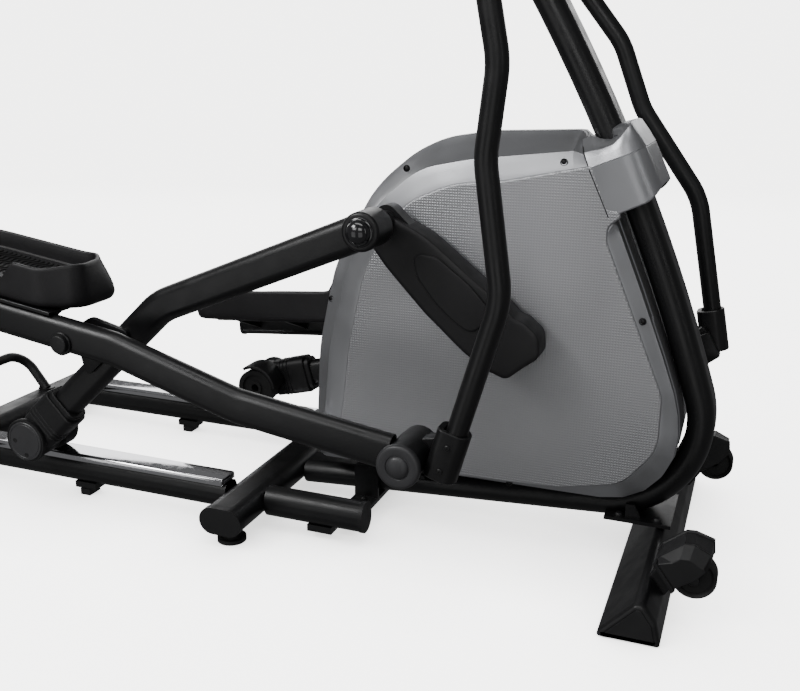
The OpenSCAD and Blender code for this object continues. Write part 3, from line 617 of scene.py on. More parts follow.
COVER_OUTLINE = [
    (-580, 100, 14), (-569, 300, 300), (-537, 450, 220), (-470, 577, 190), (-390, 645, 170), (-290, 661, 200),
    (-150, 667, 0), (-127, 640, 0), (-88, 556, 0), (-39, 442, 0), (0, 345, 0), (20, 290, 0), (28, 258, 0),
    (31.5, 226, 0), (27, 188, 0), (12, 154, 0), (-12, 127, 0), (-44, 110, 0), (-80, 104, 0),
]
RIM_OUTLINE = [
    (-566, 102, 10), (-546, 304, 300), (-519, 420, 200), (-468, 540, 160), (-388, 606, 120), (-300, 624, 200),
    (-152, 641, 0), (-128, 634, 0), (-89, 553, 0), (-41, 440, 0), (-2, 343, 0), (18, 289, 0), (26, 258, 0),
    (29.5, 226, 0), (25, 189, 0), (11, 156, 0), (-13, 129, 0), (-45, 112, 0), (-81, 106, 0),
]
PANEL_OUTLINE = [
    (-534, 122, 10), (-518, 213, 300), (-507, 311, 300), (-476, 453, 240), (-405, 555, 90), (-330, 587, 150),
    (-258, 593, 200), (-123, 622, 0), (-96, 560, 3), (-80, 560, 3), (-76, 550, 6), (-94, 536, 14),
    (-95, 515, 30), (2, 287, 60), (2, 200, 70), (-48, 137, 60), (-150, 115, 200), (-340, 108, 0),
]
SCREWS = [  # (x, z, y)
    (-412, 604, -67), (-164, 625, -79.8), (-544, 383, -66),
    (-35, 399, -81), (-226, 108, -79), (-560, 122, -66),
]


def facing_up(outline):
    """How far each point of an outline faces up, from 0 to 1."""
    out = []
    for i, here in enumerate(outline):
        along = (outline[(i + 3) % len(outline)] - outline[i - 3]).normalized()
        out.append(max(0.0, abs(along.x) * (1 if here.y > 400 else 0) - 0.15) / 0.85)
    return out


def cover_shell():
    """One half: side wall, sloping outer strip, crisp rim line, then the band that rises to the panel."""
    count = 320
    outline = even(rounded(COVER_OUTLINE, 12), count)
    rim = even(rounded(RIM_OUTLINE, 12), count)
    panel = even(rounded(PANEL_OUTLINE, 8), count)
    deep = inset(panel, 15)
    rim = [min(rim, key=lambda q, p=p: (q - p).length) for p in outline]
    near = [min(range(count), key=lambda k, p=p: (panel[k] - p).length) for p in rim]
    top = [-63 + 53 * w ** 1.4 for w in facing_up(outline)]

    def row(a, b, share, y):
        heights = y if isinstance(y, list) else [y] * count
        return [Vector((p.x + (q.x - p.x) * share, h, p.y + (q.y - p.y) * share))
                for p, q, h in zip(a, b, heights)]

    wall = inset(outline, 1.6)
    rows = [
        row(outline, outline, 0, -0.3), row(outline, outline, 0, [t * 0.5 for t in top]),
        row(outline, outline, 0, [t + 3.0 for t in top]), row(outline, wall, 0.3, [t + 1.0 for t in top]),
        row(outline, wall, 1, top),
    ]
    for share in (0.33, 0.66, 0.97):
        rows.append(row(wall, rim, share, [t + (-72.4 - t) * share for t in top]))
    rows.append(row(wall, rim, 1, -72.9))
    inner = [panel[k] for k in near]
    for share, y in ((0.03, -73.3), (0.35, -76.4), (0.7, -79.4), (0.96, -81.9), (1.0, -82.1)):
        rows.append(row(rim, inner, share, y))
    rows.append(row(rim, [deep[k] for k in near], 1, -82.1))
    return loft(rows, first_cap=False)


def cover_panel():
    """Flat textured face standing just proud of the band, with a bright bevelled edge."""
    outline = even(rounded(PANEL_OUTLINE, 8), 260)
    steps = ((-0.6, -78.5), (-0.4, -82.2), (0.6, -83.8), (2.2, -84.6), (3.0, -84.7))
    return skin(outline, steps, first_cap=False)


def seam_line():
    """Thin bead where the two halves meet, all round, painted paler than the cover as a painted highlight of the
    lit seam line.
    """
    outline = even(rounded(COVER_OUTLINE, 12), 320)
    return skin(outline, ((0, -0.9), (-0.9, -0.7), (-0.9, 0.7), (0, 0.9)), first_cap=False, last_cap=False)


COLLAR_LEAN = math.radians(25.4)
COLLAR_MIDDLE = (-88, 620)


def collar_ring(points):
    """Ring round the mast: each point is (across the mast, sideways, up along the mast)."""
    ring = []
    for u, y, h in points:
        x, z = turned(u, h, COLLAR_LEAN)
        ring.append(Vector((COLLAR_MIDDLE[0] + x, y, COLLAR_MIDDLE[1] + z)))
    return ring


def mast_collar():
    """Sleeve that carries the covers' faces round the mast: flat sides, a rounded nose and a sunk top."""
    half, nose, turn_r, back = 84.0, 46.0, 34.0, -36.0
    plan = [(back + (nose - turn_r - back) * k / 10, -half) for k in range(11)]
    for k in range(1, 13):
        a = math.pi / 2 * k / 12
        plan.append((nose - turn_r + turn_r * math.sin(a), -half + turn_r * (1 - math.cos(a))))
    plan += [(nose, -half + turn_r + (half - turn_r) * k / 6) for k in range(1, 6)]
    plan += [(nose, 0.0)]
    plan += [(u, -y) for u, y in reversed(plan[:-1])]

    def along(table, u):
        """Straight-line reading of a table of (across the mast, height)."""
        for (u0, h0), (u1, h1) in zip(table, table[1:]):
            if u <= u1:
                return h0 + (h1 - h0) * max(0.0, u - u0) / (u1 - u0)
        return table[-1][1]

    def foot(u):
        return -62.0 + 12.0 * max(0.0, (u - 22) / 24) ** 1.6

    def parting(u):
        return 14.0 - 3.0 * eased(u, back, nose)

    def rim(u):
        return along([(-36, 39), (-28, 38), (-12, 34), (6, 33.5), (20, 39), (34, 47.5), (46, 53)], u)

    def crown(u):
        return along([(-36, 57), (-20, 56), (-10, 46), (4, 40), (18, 44), (32, 53), (46, 57)], u)

    def drawn(pull, height, lift=0.0):
        """The plan pulled in by pull and set lift above a height along the mast."""
        ring = []
        for u, y in plan:
            side = 1 if y > 0 else -1
            across = min(u, nose - pull) if u > nose - turn_r else u
            ring.append((across, side * max(0.0, abs(y) - pull), height(u) + lift))
        return collar_ring(ring)

    rows = [drawn(pull, foot, lift) for pull, lift in ((9, 1.0), (3.4, 0.4), (1.0, 0), (0.2, 1.2), (0, 3.0))]
    rows += [drawn(pull, parting, lift) for pull, lift in ((0, -1.1), (0.9, -0.4), (0.9, 0.4), (0.2, 1.0))]
    rows += [drawn(4.0, lambda u: (parting(u) + rim(u)) / 2)]
    rows += [drawn(pull, rim, lift) for pull, lift in ((8.4, -1.4), (9.6, -0.2), (11.5, 0.4))]
    rows += [drawn(24.0, lambda u: (rim(u) + crown(u)) / 2 + 1)]
    rows += [drawn(pull, crown, lift) for pull, lift in ((37.0, 0), (41.0, -2.0), (42.0, -12.0))]
    return loft(rows, first_cap=False, last_cap=False)


def mirrored(left):
    return Matrix.Diagonal((1, -1 if left else 1, 1, 1))


def screw_head():
    """Recessed screw: a well painted black as the shade inside the recess, pan head with a cross drive."""
    # painted shade: the well round the head is painted black for the shadow inside the screw's recess
    well = spindle([(5.6, -1.0), (5.2, 0.55), (4.6, 0.55), (4.3, -2.6), (0, -2.6)], 28)
    head = spindle([(3.8, -2.6), (3.7, -1.2), (3.0, -0.5), (1.6, -0.2), (0, -0.1)], 24)
    cross = []
    for turn in (0, math.pi / 2):
        slot = [Vector(p) for p in ((-2.0, -0.4), (2.0, -0.4), (2.0, 0.4), (-2.0, 0.4))]
        cross.append(moved(plate(slot, -0.2, 0.5, 0.1, 1), spun(turn, "Y")))
    return join(well, head, *cross)


def collar_seam():
    """Dark joint line down the collar's back edge."""
    route = [(-36, -84.9, -61), (-36, -84.9, 13), (-36, -80.4, 26), (-36, -75.6, 38), (-36, -61, 48)]
    corners = ((-0.8, 1.2), (-0.8, 0), (0.8, 0), (0.8, 1.2))
    return loft([collar_ring([(u + across, y + deep, h) for across, deep in corners]) for u, y, h in route])


def add_covers():
    for side, left in SIDES:
        spot = mirrored(left)
        piece("cover_shell_" + side, cover_shell(), "frame", "silver_plastic", spot, ["cover_" + side])
        piece("cover_panel_" + side, cover_panel(), "frame", MESH_PANEL, spot, slot="silver_plastic")
        for i, (x, z, y) in enumerate(SCREWS):
            piece(f"cover_screw_{side}_{i}", screw_head(), "frame", MATERIALS["black_plastic"],
                  spot @ at(x, y, z), ["cover_screws"])
        piece("collar_seam_" + side, collar_seam(), "frame", DARK_JOINT_AND_HOLE_SHADE, spot)
    piece("cover_seam", seam_line(), "frame", SEAM_PAINTED_HIGHLIGHT, slot="silver_plastic")
    piece("mast_collar", mast_collar(), "frame", "silver_plastic", replaces=["mast_shroud"])


# ---------------------------------------------------------------- cranks

CRANK_COVER = [
    (-51, -14, 10), (-55, -40, 16), (-30, -62, 20), (-2, -60, 14), (14, -53, 12), (40, -53, 60),
    (110, -43, 300), (190, -34, 200), (264, -8, 18), (279, 22, 14), (262, 40, 16), (200, 48, 200),
    (110, 50, 260), (30, 45, 80), (-14, 38, 24), (-48, 22, 14),
]
CRANK_LEAF = [
    (34, -34, 10), (90, -37, 200), (158, -27, 34), (186, -2, 10), (158, 18, 34), (92, 27, 200), (38, 14, 18),
]


def crank_shell():
    """Crank cover with its raised leaf."""
    outline = even(rounded(CRANK_COVER, 8), 220)
    shell = skin(outline, ((2, -97.5), (0, -99.5), (0, -143.5), (0.5, -144.9), (1.5, -145.7), (5, -146.8),
                           (8, -147.2)))
    leaf = even(rounded(CRANK_LEAF, 8), 160)
    leaf = skin(leaf, ((0, -146.0), (0, -149.4), (0.5, -150.2), (1.6, -150.8), (4, -151.0)), first_cap=False)
    return join(shell, leaf)


def add_cranks():
    for side, left in SIDES:
        piece("crank_shell_" + side, crank_shell(), "crank", CRANK_PLASTIC, crank_place[side],
              ["crank_cover_" + side], slot="black_plastic")


# ---------------------------------------------------------------- links

LINK_LENGTH, LINK_RISE = 760, 70
BOSS_FACE = 243.5
BAR_BOLT = (241, 96)  # from the roller axle, along the link and above it


def link_body():
    """Bent link tube with its crank boss, roller hub and the shelf for the pedal bar's bolt."""
    route = [(20, 3.7), (LINK_LENGTH / 2, LINK_RISE), (LINK_LENGTH - 22, 4)]
    tube = bent_tube(route, 110, 54, 32, -LINK_Y, 3, 40)
    boss = [(25.5, 185.6), (29, 187), (29, 238.5), *soft_corner(29, BOSS_FACE, 5), (0, BOSS_FACE)]
    boss = moved(spindle(boss), at(LINK_LENGTH))
    hub = spindle([(0, 197.6), (26, 197.6), (27, 198.8), (27, 236.4), (26, 237.4), (0, 237.4)])
    shelf = plate(even(rounded([(190, 36, 8), (318, 58, 8), (263, 116, 18), (219, 116, 18)]), 80),
                  -LINK_Y - 15, -LINK_Y - 24, 1.2)
    return join(tube, boss, hub, shelf)


def domed_cap(r, height):
    """Pressed dome over a pin end, with a rolled foot."""
    foot = [(r + 1.6, 0), (r + 1.6, 1.4), (r + 0.6, 2.4), (r - 0.6, 2.8)]
    return spindle(foot + dome(r - 1.2, 3, height - 3), 48)


def add_links():
    for side, left in SIDES:
        body = side + "_link"
        place = link_place[side]
        piece("link_tube_" + side, link_body(), body, "black_steel", place, ["link_" + side])
        piece("crank_pin_cap_" + side, domed_cap(20, 17), body, GLOSS_CAP,
              place @ at(LINK_LENGTH, -BOSS_FACE), slot="black_plastic")
        post = spindle([(0, 240), (10, 240), (10, 306), (0, 306)])
        head = spindle([(0, 309.5), (15, 309.5), (15, 313.5), *soft_corner(15, 316, 2.2), (0, 316)])
        piece("bar_bolt_" + side, join(post, head), body, "black_plastic",
              place @ at(BAR_BOLT[0], 0, BAR_BOLT[1]))


# ---------------------------------------------------------------- swing arms

ARM_TUBE = 31
ARM_PATH = [(6, -20), (30, -140), (17, -258), (44, -440), (-24, -676)]
HANDLE_PATH = [(1, 33), (8, 430), (-128, 748)]


def arm_lug():
    """Socket sleeve round the arm's foot, its web and the ear that carries the pedal bar's pivot."""
    s = front["right"] - arm_top["right"]
    x, z = s.x, s.z
    last, before = Vector(ARM_PATH[-1]), Vector(ARM_PATH[-2])
    along = (last - before).normalized()
    lean = math.atan2(along.x, -along.y)
    sleeve = rounded([(-24, -20, 12), (24, -20, 19), (24, 20, 19), (-24, 20, 12)], 8)
    steps = ((8.2, 33), (8.2, 40.6), (7.0, 41.4), (1.2, 41.4),
             (0, 40.0), (0, -33.0), (1.4, -34.6), (5, -34.6))  # (inset, height)
    ring = [[Vector((p.x, p.y - BAR_Y + 2, h)) for p in inset(sleeve, depth)] for depth, h in steps]
    middle = last - along * 4
    socket = moved(loft(ring, first_cap=False), at(middle.x - 3, 0, middle.y) @ spun(-lean, "Y"))
    web = rounded([
        (x + 12, z - 25, 4), (x + 12, z + 24, 4), (x + 40, z + 30, 6), (x + 54, z + 34, 4),
        (x + 60, z - 28, 4), (x + 30, z - 34, 6)])
    web = plate(even(web, 120), -252, -272, 1.2)
    ear = rounded([(x - 2, z - 20, 0), (x + 60, z - 24, 2), (x + 60, z + 24, 2), (x - 2, z + 22, 0)])
    ear = plate(even(ear, 80), -236, -251.6, 0.8)
    disc = spindle([(0, 230), (28, 230), (29, 231), (29, 250.6), (28, 251.6), (0, 251.6)])
    disc = moved(disc, at(x, 0, z))
    screws = []
    for rise in (-18, 20):
        spot = middle - along * rise
        head = [(0, 0), (4.4, 0), (4.4, 1.4), (3.6, 2.2), (1.5, 2.3), (1.3, 1.3), (0, 1.3)]
        screws.append(moved(spindle(head, 24), at(spot.x - 3, -BAR_Y - 17.8, spot.y)))
    return join(socket, web, ear, disc, *screws)


def add_arms():
    for side, left in SIDES:
        body = side + "_arm"
        place = arm_place[side]
        hub = spindle([
            (16.2, BAR_Y - 26), (31, BAR_Y - 26), (32, BAR_Y - 25), (32, BAR_Y + 25), (31, BAR_Y + 26),
            (16.2, BAR_Y + 26), (16.2, BAR_Y - 26)])
        tube = bent_tube(ARM_PATH, 130, ARM_TUBE, ARM_TUBE, -BAR_Y, 2.5, 36)
        piece("arm_tube_" + side, join(tube, hub, arm_lug()), body, "black_steel", place,
              ["swing_arm_" + side])
        upper = bent_tube(HANDLE_PATH, 240, ARM_TUBE, ARM_TUBE, -BAR_Y, 2.5, 36)
        knob = [(0, BAR_Y + 12), (7, BAR_Y + 12), (7, BAR_Y + 16), (10, BAR_Y + 17),
                (10.4, BAR_Y + 21.5), (9, BAR_Y + 23.6), (0, BAR_Y + 24)]
        knob = moved(spindle(knob, 32), at(0, 0, 60))
        piece("handle_tube_" + side, join(upper, knob), body, "black_steel", place, ["handle_" + side])


# ---------------------------------------------------------------- pedal bars

BAR_BEND, BAR_DIP = (88, 14), (312, -10)
REAR_RISE = math.radians(2.3)
BAR_BACK = 330


def bar_body():
    """Pedal bar: its tube bent twice, the bolt's sleeve, the front hub and the plug in its rear end."""
    rear = (BAR_BEND[0] - (BAR_BEND[0] + BAR_BACK) * math.cos(REAR_RISE),
            BAR_BEND[1] - (BAR_BEND[0] + BAR_BACK) * math.sin(REAR_RISE))
    tube = bent_tube([rear, BAR_BEND, BAR_DIP, (BAR_LENGTH - 24, 0.7)], 90, 56, 32, -BAR_Y, 3, 40)
    sleeve = spindle([
        (10.3, 242.2), (18, 242.2), (19, 243.2), (19, BAR_Y + 18.6), (18, BAR_Y + 19.6),
        (10.3, BAR_Y + 19.6), (10.3, 242.2)])
    hub = spindle([(0, 252), (29, 252), (30, 253), (30, BAR_Y + 30), (0, BAR_Y + 30)])
    hub = moved(hub, at(BAR_LENGTH))
    plug = moved(bent_tube([(0, 0), (6, 0)], 1, 60, 34, -BAR_Y, 16.9, 40), at(rear[0] - 5, 0, rear[1]))
    return join(tube, sleeve, hub, plug)


def pivot_cap():
    """Wide plastic cap over the front pivot, a ring round a domed middle."""
    ring = [(32, 0), (33, 1.0), (33, 5.5), (32.2, 8.2), (30.5, 9.6), (27.5, 10.2), (18.5, 9.2), (17.4, 8.0)]
    return spindle(ring + dome(16.4, 8.2, 6.0), 64)


def add_bars():
    for side, left in SIDES:
        body = side + "_bar"
        place = bar_place[side]
        piece("bar_tube_" + side, join(bar_body(), rear_leg_parts()), body, "black_steel", place,
              ["pedal_bar_" + side])
        piece("front_pivot_cap_" + side, pivot_cap(), body, SOFT_CAP, place @ at(BAR_LENGTH, -BAR_Y - 29),
              slot="black_plastic")


# ---------------------------------------------------------------- pedals

REAR_LEG = at(BAR_BEND[0], 0, BAR_BEND[1]) @ spun(-REAR_RISE, "Y") @ at(-BAR_BEND[0] - 178, 0, 0)
TREAD_Z = 32
CARRIER_TOP = 34
PEDAL_GAP = 0.2


def flat_plate(x0, x1, y0, y1, z0, z1, soft=1.0):
    """Box with softened upright edges, drawn upwards."""
    outline = [Vector((x0, y0)), Vector((x1, y0)), Vector((x1, y1)), Vector((x0, y1))]
    steps = ((soft, z0), (0, z0 + soft), (0, z1 - soft), (soft, z1))
    return loft([[Vector((p.x, p.y, z)) for p in inset(outline, depth)] for depth, z in steps])


def rear_leg_parts():
    """Carrier plate on the bar's rear leg with its three gussets."""
    parts = [flat_plate(-150, 150, -BAR_Y - 14, -BAR_Y + 110, 28.6, CARRIER_TOP, 0.6)]
    for x in (-110, 0, 110):
        outline = [Vector(p) for p in ((-BAR_Y + 15.9, -10), (-BAR_Y + 108, 28.6), (-BAR_Y + 15.9, 28.6))]
        parts.append(loft([[Vector((x + t, p.x, p.y)) for p in outline] for t in (0, 5)]))
    return moved(join(*parts), REAR_LEG)


def tray_outline(count=160):
    """Plan of the tray: x towards the toe, y outwards to inwards."""
    return even(rounded([
        (-200, -62, 36), (-60, -76, 200), (130, -77, 90), (190, -50, 44), (190, 50, 44), (130, 77, 90),
        (-60, 76, 200), (-200, 62, 36)], 10), count)


def wall_height(p):
    """Rim height round the tray: high round the toe, level inside, cut away outside behind the toe."""
    inside = 34 + 28 * eased(p.x, -190, -80) + 10 * eased(p.x, 90, 184)
    outside = 26 + 38 * eased(p.x, 42, 76) + 12 * eased(p.x, 110, 188)
    share = eased(p.y, -45, 45)
    return outside * (1 - share) + inside * share


def tray():
    """Moulded tray: its wall leans in round the toe, its underside rises towards the toe."""
    outer = tray_outline()
    lean = [2.5 + (11 + 15 * eased(p.y, -40, 60)) * eased(p.x, 110, 188) for p in outer]
    base = [6 * eased(p.x, 110, 190) for p in outer]
    inward = [q - p for p, q in zip(outer, inset(outer, 1.0))]

    def ring(depth, height):
        """Ring moved in by depth(i) and set at height(i)."""
        return [Vector((p.x + n.x * depth(i), p.y + n.y * depth(i), height(i)))
                for i, (p, n) in enumerate(zip(outer, inward))]

    top = [wall_height(p) for p in outer]
    floor = TREAD_Z + 0.6
    rows = []
    for depth, rise in ((13, 0.4), (8, 0), (3.5, 2.0), (1.0, 6.0), (0.0, 12.0)):
        rows.append(ring(lambda i: depth, lambda i: base[i] + rise))
    for share in (0.2, 0.4, 0.6, 0.8, 0.95):
        rows.append(ring(lambda i: lean[i] * share ** 1.4,
                         lambda i: base[i] + 12 + (top[i] - 3 - base[i] - 12) * share))
    for depth, drop in ((0.3, 1.6), (1.4, 0.4), (3.2, 0.0), (5.2, 0.1), (6.6, 0.8), (7.4, 2.4)):
        rows.append(ring(lambda i: lean[i] + depth,
                         lambda i: top[i] - drop * max(0.2, min(1.0, (top[i] - floor) / 6))))
    rows.append(ring(lambda i: lean[i] * 0.7 + 8.6, lambda i: floor + max(0.0, top[i] - floor - 3) * 0.4))
    rows.append(ring(lambda i: lean[i] * 0.5 + 9.6, lambda i: floor + max(0.0, top[i] - floor - 3) * 0.08))
    rows.append(ring(lambda i: lean[i] * 0.5 + 12, lambda i: floor - 0.2))
    rows.append(ring(lambda i: lean[i] * 0.5 + 15, lambda i: floor - 0.4))
    return loft(rows)


def tread():
    """Wavy anti-slip ribs running across the tread, held inside the tray."""
    bm = bmesh.new()
    across, along, pitch, first = 21, 35, 9.8, -172
    rib = ((-2.3, 0), (-1.5, 1.7), (0, 2.1), (1.5, 1.7), (2.3, 0))
    for i in range(along):
        x0 = first + pitch * i
        half = 50 if -140 < x0 < 128 else 38
        rows = []
        for k in range(across + 1):
            y = -half + 2 * half * k / across
            x = x0 + 2.6 * math.sin(y / 5.0)
            rows.append([Vector((x + dx, y, TREAD_Z + 0.3 + dz)) for dx, dz in rib])
        strip = [[bm.verts.new(p) for p in row] for row in rows]
        for a, b in zip(strip, strip[1:]):
            for j in range(4):
                bm.faces.new((a[j], a[j + 1], b[j + 1], b[j]))
            bm.faces.new((a[4], a[0], b[0], b[4]))
        bm.faces.new(strip[0])
        bm.faces.new(strip[-1][::-1])
    return bm


def add_pedals():
    for side, left in SIDES:
        body = side + "_bar"
        place = bar_place[side] @ REAR_LEG @ at(0, -PEDAL_Y, CARRIER_TOP + PEDAL_GAP)
        piece("pedal_tray_" + side, tray(), body, PEDAL_PLASTIC, place, ["pedal_" + side],
              slot="black_plastic")
        piece("pedal_tread_" + side, tread(), body, "soft_rubber", place)


# ---------------------------------------------------------------- roller boots

LEG = math.atan2(LINK_RISE, LINK_LENGTH / 2)


def turned_boot(profile, count=64):
    """Turned part of a boot; its heights start at the link's middle plane."""
    return spindle([(r, LINK_Y + h) for r, h in profile], count)


def boot_body():
    """Housing round the axle, its ribbed neck, and the two-part clamp on the link's leg."""
    drum = turned_boot([
        (27.6, -20), (36, -20), (36, 18), (38.4, 20.5), (40, 22.5), (40, 28.5), (39, 30.2), (36.5, 30.6),
        (35.6, 29.8), (0, 29.8)])
    parts = [drum]

    def block(w, h, steps):
        """Rounded block on the leg, from its half sizes and (inset, place along the leg) steps."""
        outline = rounded([(-w, -h, 14), (w, -h, 14), (w, h, 14), (-w, h, 14)], 6)
        skin = loft([[Vector((x, p.y, p.x)) for p in inset(outline, depth)] for depth, x in steps])
        parts.append(moved(skin, spun(-LEG, "Y") @ at(0, -LINK_Y, 0)))

    for x0, x1, w, h in ((20, 66, 36, 23), (60, 98, 37.2, 24), (94, 108, 33.6, 20.6)):
        block(w, h, ((1.6, x0), (0, x0 + 1.6), (0, x1 - 1.6), (1.6, x1)))
    for x in (40, 48, 56):
        block(37.2, 24.2, ((1.4, x), (0, x + 1.2), (0, x + 2.6), (1.4, x + 3.8)))
    return join(*parts)


def boot_cap():
    """Flat round cover over the axle with a softened edge and a shallow ring."""
    return turned_boot([
        (0, 29), (35.4, 29), (35.4, 30.8), (34.2, 31.9), (31.4, 32.0), (30.8, 31.4), (30.2, 32.0), (14, 32.4),
        (0, 32.5)])


def boot_guard():
    """Curved mudguard over the roller."""
    outer, inner, count = 48.0, 42.0, 24
    a0, a1 = -0.20, math.radians(104)
    arc = [a0 + (a1 - a0) * k / count for k in range(count + 1)]
    outline = [Vector((outer * math.cos(a), outer * math.sin(a))) for a in arc]
    outline += [Vector((inner * math.cos(a), inner * math.sin(a))) for a in reversed(arc)]
    return moved(plate(outline, -RAIL_Y + 22, -LINK_Y + 20, 1.2), spun(-math.radians(12), "Y"))


def painted_hole_shade_disc(r, h):
    """Near-black disc on a boot's closed face, painted shade standing for the inside of a screw hole."""
    return turned_boot([
        (0, h - 1), (r + 0.5, h - 1), (r + 0.5, h + 0.4), (r, h + 0.6), (r - 0.8, h + 0.35), (0, h + 0.35),
    ], 24)


def add_boots():
    for side, left in SIDES:
        body = side + "_link"
        place = link_place[side]
        piece("boot_" + side, join(boot_body(), boot_guard()), body, "black_plastic", place,
              ["roller_boot_" + side])
        piece("boot_cap_" + side, boot_cap(), body, SOFT_CAP, place, slot="black_plastic")
        # painted shade: near-black discs stand for the inside of the cap's two screw holes
        for i, (x, z) in enumerate(((-17, 10.7), (-12, -22))):
            piece(f"boot_screw_hole_shade_{side}_{i}", painted_hole_shade_disc(3.6, 32.2), body, DARK_JOINT_AND_HOLE_SHADE, place @ at(x, 0, z))


# ---------------------------------------------------------------- front stabiliser: wheels, caps, bolts

WHEEL_X, WHEEL_Y, WHEEL_Z = 78, 214, 78
WHEEL_COWL = [  # back of the cowl, its rim, its front face, as (x, z)
    ((51, 58), (51, 60), (53, 63)), ((24, 96), (24, 97), (28, 97)), ((30, 108), (31, 105), (48, 104)),
    ((61, 133), (61, 129), (58, 112)), ((74, 134), (75, 130), (71, 113)), ((100, 126), (98, 119), (90, 102)),
    ((102, 106), (99, 103), (93, 97)), ((86, 84), (84, 83), (81, 82)), ((68, 71), (67, 72), (67, 73)),
]
STAND_Y = 295


def wheel_cowl():
    """Faceted cowl over the carry wheel, open below, with its flange and the foot that bolts to the beam."""
    back, rim, face = ([Vector(row[i]) for row in WHEEL_COWL] for i in range(3))
    rows = [(inset(back, 1.2), -189), (back, -190.5), (back, -195), (inset(back, 1.4), -196),
            (inset(rim, 0.5), -226), (rim, -228), (inset(rim, 0.8), -229.4),
            (face, -240.2), (inset(face, 1.4), -241)]
    flange = plate([Vector(p) for p in ((51, 57), (55, 62), (27, 100), (23, 96))], -228, -243.5, 0.8, 2)
    foot = plate(even(rounded([(16, 56, 3), (38, 30, 3), (62, 70, 4), (40, 98, 4)]), 60), -192, -208, 1.0)
    return join(loft(rings_at(rows)), flange, foot)


def carry_wheel():
    """Moulded wheel with a rolled tread edge, a dished side and a hub."""
    half = [(31, 12), (30.4, 14), (29, 15), (26, 13.4), (24, 9), (9, 9), (9, 13), (8, 14), (0, 14)]
    profile = [(r, -h) for r, h in reversed(half)] + half
    return moved(spindle(profile, 64), at(WHEEL_X, -WHEEL_Y, WHEEL_Z))


def stabiliser_cap():
    """Rounded three-cornered end cap with a bevelled edge and a fine groove round its face."""
    outline = even(rounded([(-46, 0, 4), (46, 0, 4), (38, 34, 14), (20, 59, 10), (8, 59, 10)], 10), 120)
    outline = [Vector((p.x, max(0.0, p.y))) for p in outline]
    steps = ((0, 12), (0, 2.6), (1.4, 0.6), (3.0, -0.3), (5.0, -0.6), (5.6, 0.2), (6.4, 0.2), (7.0, -0.6),
             (8.5, -0.9))
    return skin(outline, [(depth, -STAND_Y + up) for depth, up in steps])


def button_head(r, height):
    """Domed bolt head standing up along z, with a six-sided socket."""
    six = [(0.42 * r * math.cos(math.pi / 3 * k), 0.42 * r * math.sin(math.pi / 3 * k)) for k in range(6)]
    profile = [(r * 1.35, 0), (r * 1.35, 1.2), (r, 1.3), (r * 0.98, height * 0.5), (r * 0.8, height * 0.85),
               (r * 0.5, height), (r * 0.46, height)]
    head = lathe([(0, 0), *profile, (0, height - 0.1)], 36)
    well = loft([[Vector((x, y, z)) for x, y in six] for z in (height - 0.4, height + 0.15)])
    return join(head, well)


def axle_head():
    """Carry wheel's axle with its outer head."""
    profile = [(0, -14), (6, -14), (6, 16), (8.6, 16), (8.6, 19), (7.4, 20.6), (0, 21.4)]
    return moved(spindle([(r, WHEEL_Y + h) for r, h in profile], 32), at(WHEEL_X, 0, WHEEL_Z))


RAIL_SECTION = [(-22, 0, 0.6), (-22, 13, 5.5), (22, 13, 5.5), (22, 0, 0.6)]


def rail(low, high):
    """Chromed running rail with rolled shoulders and softened ends."""
    section = rounded(RAIL_SECTION, 8)
    ease = ((0, 1.6), (0.8, 0.5), (2, 0))  # (distance from the end, inset)
    steps = [(low.x + d, depth) for d, depth in ease] + [(high.x - d, depth) for d, depth in reversed(ease)]
    return loft([[Vector((x, p.x - RAIL_Y, max(0.0, p.y) + low.z)) for p in inset(section, depth)]
                 for x, depth in steps])


# bolt heads on the right half of the frame, as (x, y, z, radius, height)
FRAME_BOLTS = [(-52, 52, 70, 6.6, 6.5), (8, 52, 70, 6.6, 6.5), (-490, 62, 26, 5.5, 5)]


def add_front():
    for side, left in SIDES:
        spot = mirrored(left)
        heads = [moved(button_head(r, h), at(x, -y, z)) for x, y, z, r, h in FRAME_BOLTS]
        piece("frame_bolts_" + side, join(*heads, axle_head()), "frame", MATERIALS["black_plastic"], spot,
              ["frame_bolts"], slot="zinc_steel")
        piece("wheel_cowl_" + side, wheel_cowl(), "frame", "black_plastic", spot, ["wheel_housings"],
              angle=math.radians(14))
        low, high = (Vector(v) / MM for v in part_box("running_rails"))
        piece("rail_" + side, rail(low, high), "frame", "chromed_steel", spot, ["running_rails"])
        piece("wheel_" + side, carry_wheel(), side + "_carry_wheel", "wheel_rubber", spot,
              ["carry_wheel_" + side])
        piece("stabiliser_cap_" + side, stabiliser_cap(), "frame", "black_plastic", spot,
              ["stabiliser_caps"])


# ---------------------------------------------------------------- everything

add_covers()
add_cranks()
add_links()
add_arms()
add_bars()
add_pedals()
add_boots()
add_front()

# ---------------------------------------------------------------- stage

FLOOR_RADIUS, WALL_RADIUS, WALL_HEIGHT = 9.0, 12.0, 9.0


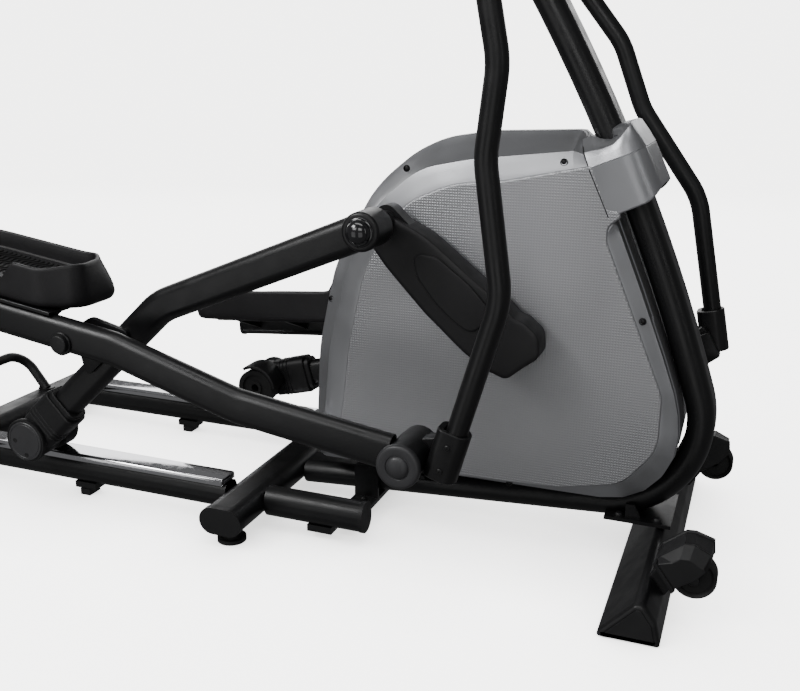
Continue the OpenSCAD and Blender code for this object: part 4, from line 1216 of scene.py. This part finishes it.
def add_stage():
    """Pale studio floor that curves up into a wall all round, lit paper white, its glow dimmed by ambient
    occlusion near the machine as a painted contact shadow.
    """
    bend = WALL_RADIUS - FLOOR_RADIUS
    profile = [(FLOOR_RADIUS * k / 25, 0.0) for k in range(26)]
    for k in range(1, 13):
        a = math.pi / 2 * k / 12
        profile.append((FLOOR_RADIUS + bend * math.sin(a), bend * (1 - math.cos(a))))
    profile.append((WALL_RADIUS, WALL_HEIGHT))
    bm = lathe(profile, 96)
    bmesh.ops.recalc_face_normals(bm, faces=bm.faces)
    for face in bm.faces:
        face.smooth = True
    mesh = bpy.data.meshes.new("floor")
    bm.to_mesh(mesh)
    bm.free()
    floor = bpy.data.objects.new("floor", mesh)
    bpy.context.scene.collection.objects.link(floor)
    paper = (0.84, 0.838, 0.828)
    look = Look("pale_floor", paper, 0.75, Emission_Color=(1.0, 0.995, 0.985, 1))
    tinted(look, paper, 0.01, 2.0)
    # painted contact shadow: ambient occlusion dims the floor's glow under and beside the machine
    near = look.node("ShaderNodeAmbientOcclusion", samples=12)
    near.inputs["Distance"].default_value = 0.22
    glow_with_painted_contact_shadow = look.between(near.outputs["AO"], 0.0, 1.0, FLOOR_GLOW * 0.18, FLOOR_GLOW)
    look.link(glow_with_painted_contact_shadow, look.shader.inputs["Emission Strength"])
    paint(floor, look.mat)
    floor.visible_diffuse = False
    floor.visible_glossy = False


def add_light(name, place, aim, size, power):
    data = bpy.data.lights.new(name, "AREA")
    data.shape = "RECTANGLE"
    data.size, data.size_y = size
    data.energy = power
    light = bpy.data.objects.new(name, data)
    light.location = place
    light.rotation_euler = (Vector(aim) - Vector(place)).to_track_quat("-Z", "Y").to_euler()
    light.visible_camera = False
    bpy.context.scene.collection.objects.link(light)


FLOOR_GLOW = 4.6
WORLD_GLOW = 0.15


def add_lights():
    """Softboxes by radiance: place, point aimed at, size in metres, brightness."""
    aim = (-0.4, 0, 0.4)
    boxes = {
        "top": ((-0.5, -0.9, 3.2), aim, (2.6, 0.7), 4.0),
        "key": ((-2.3, -1.9, 2.6), aim, (1.2, 0.9), 16.0),
        "right_strip": ((2.2, -1.4, 1.4), aim, (0.4, 1.8), 1.6),
        "back": ((-2.0, 3.4, 1.6), (-0.9, 0, 0.2), (6.5, 1.2), 2.6),
        "front_high_left": ((-1.8, -2.6, 1.9), (-0.4, 0, 0.6), (1.3, 0.9), 5.0),
        "front_high_right": ((0.35, -2.7, 1.9), (-0.1, 0, 0.6), (1.3, 0.9), 3.8),
        "front_low_left": ((-1.9, -2.6, 0.0), (-0.4, 0, 0.4), (1.4, 1.6), 0.85),
        "front_low_right": ((0.45, -2.7, 0.0), (0.0, 0, 0.4), (1.4, 1.6), 0.80),
    }
    for name, (place, target, size, brightness) in boxes.items():
        add_light(name, place, target, size, brightness * math.pi * size[0] * size[1])
    world = bpy.data.worlds.new("studio")
    bpy.context.scene.world = world
    world.use_nodes = True
    back = world.node_tree.nodes["Background"]
    back.inputs["Color"].default_value = (0.98, 0.985, 1.0, 1)
    back.inputs["Strength"].default_value = WORLD_GLOW


add_stage()
add_lights()
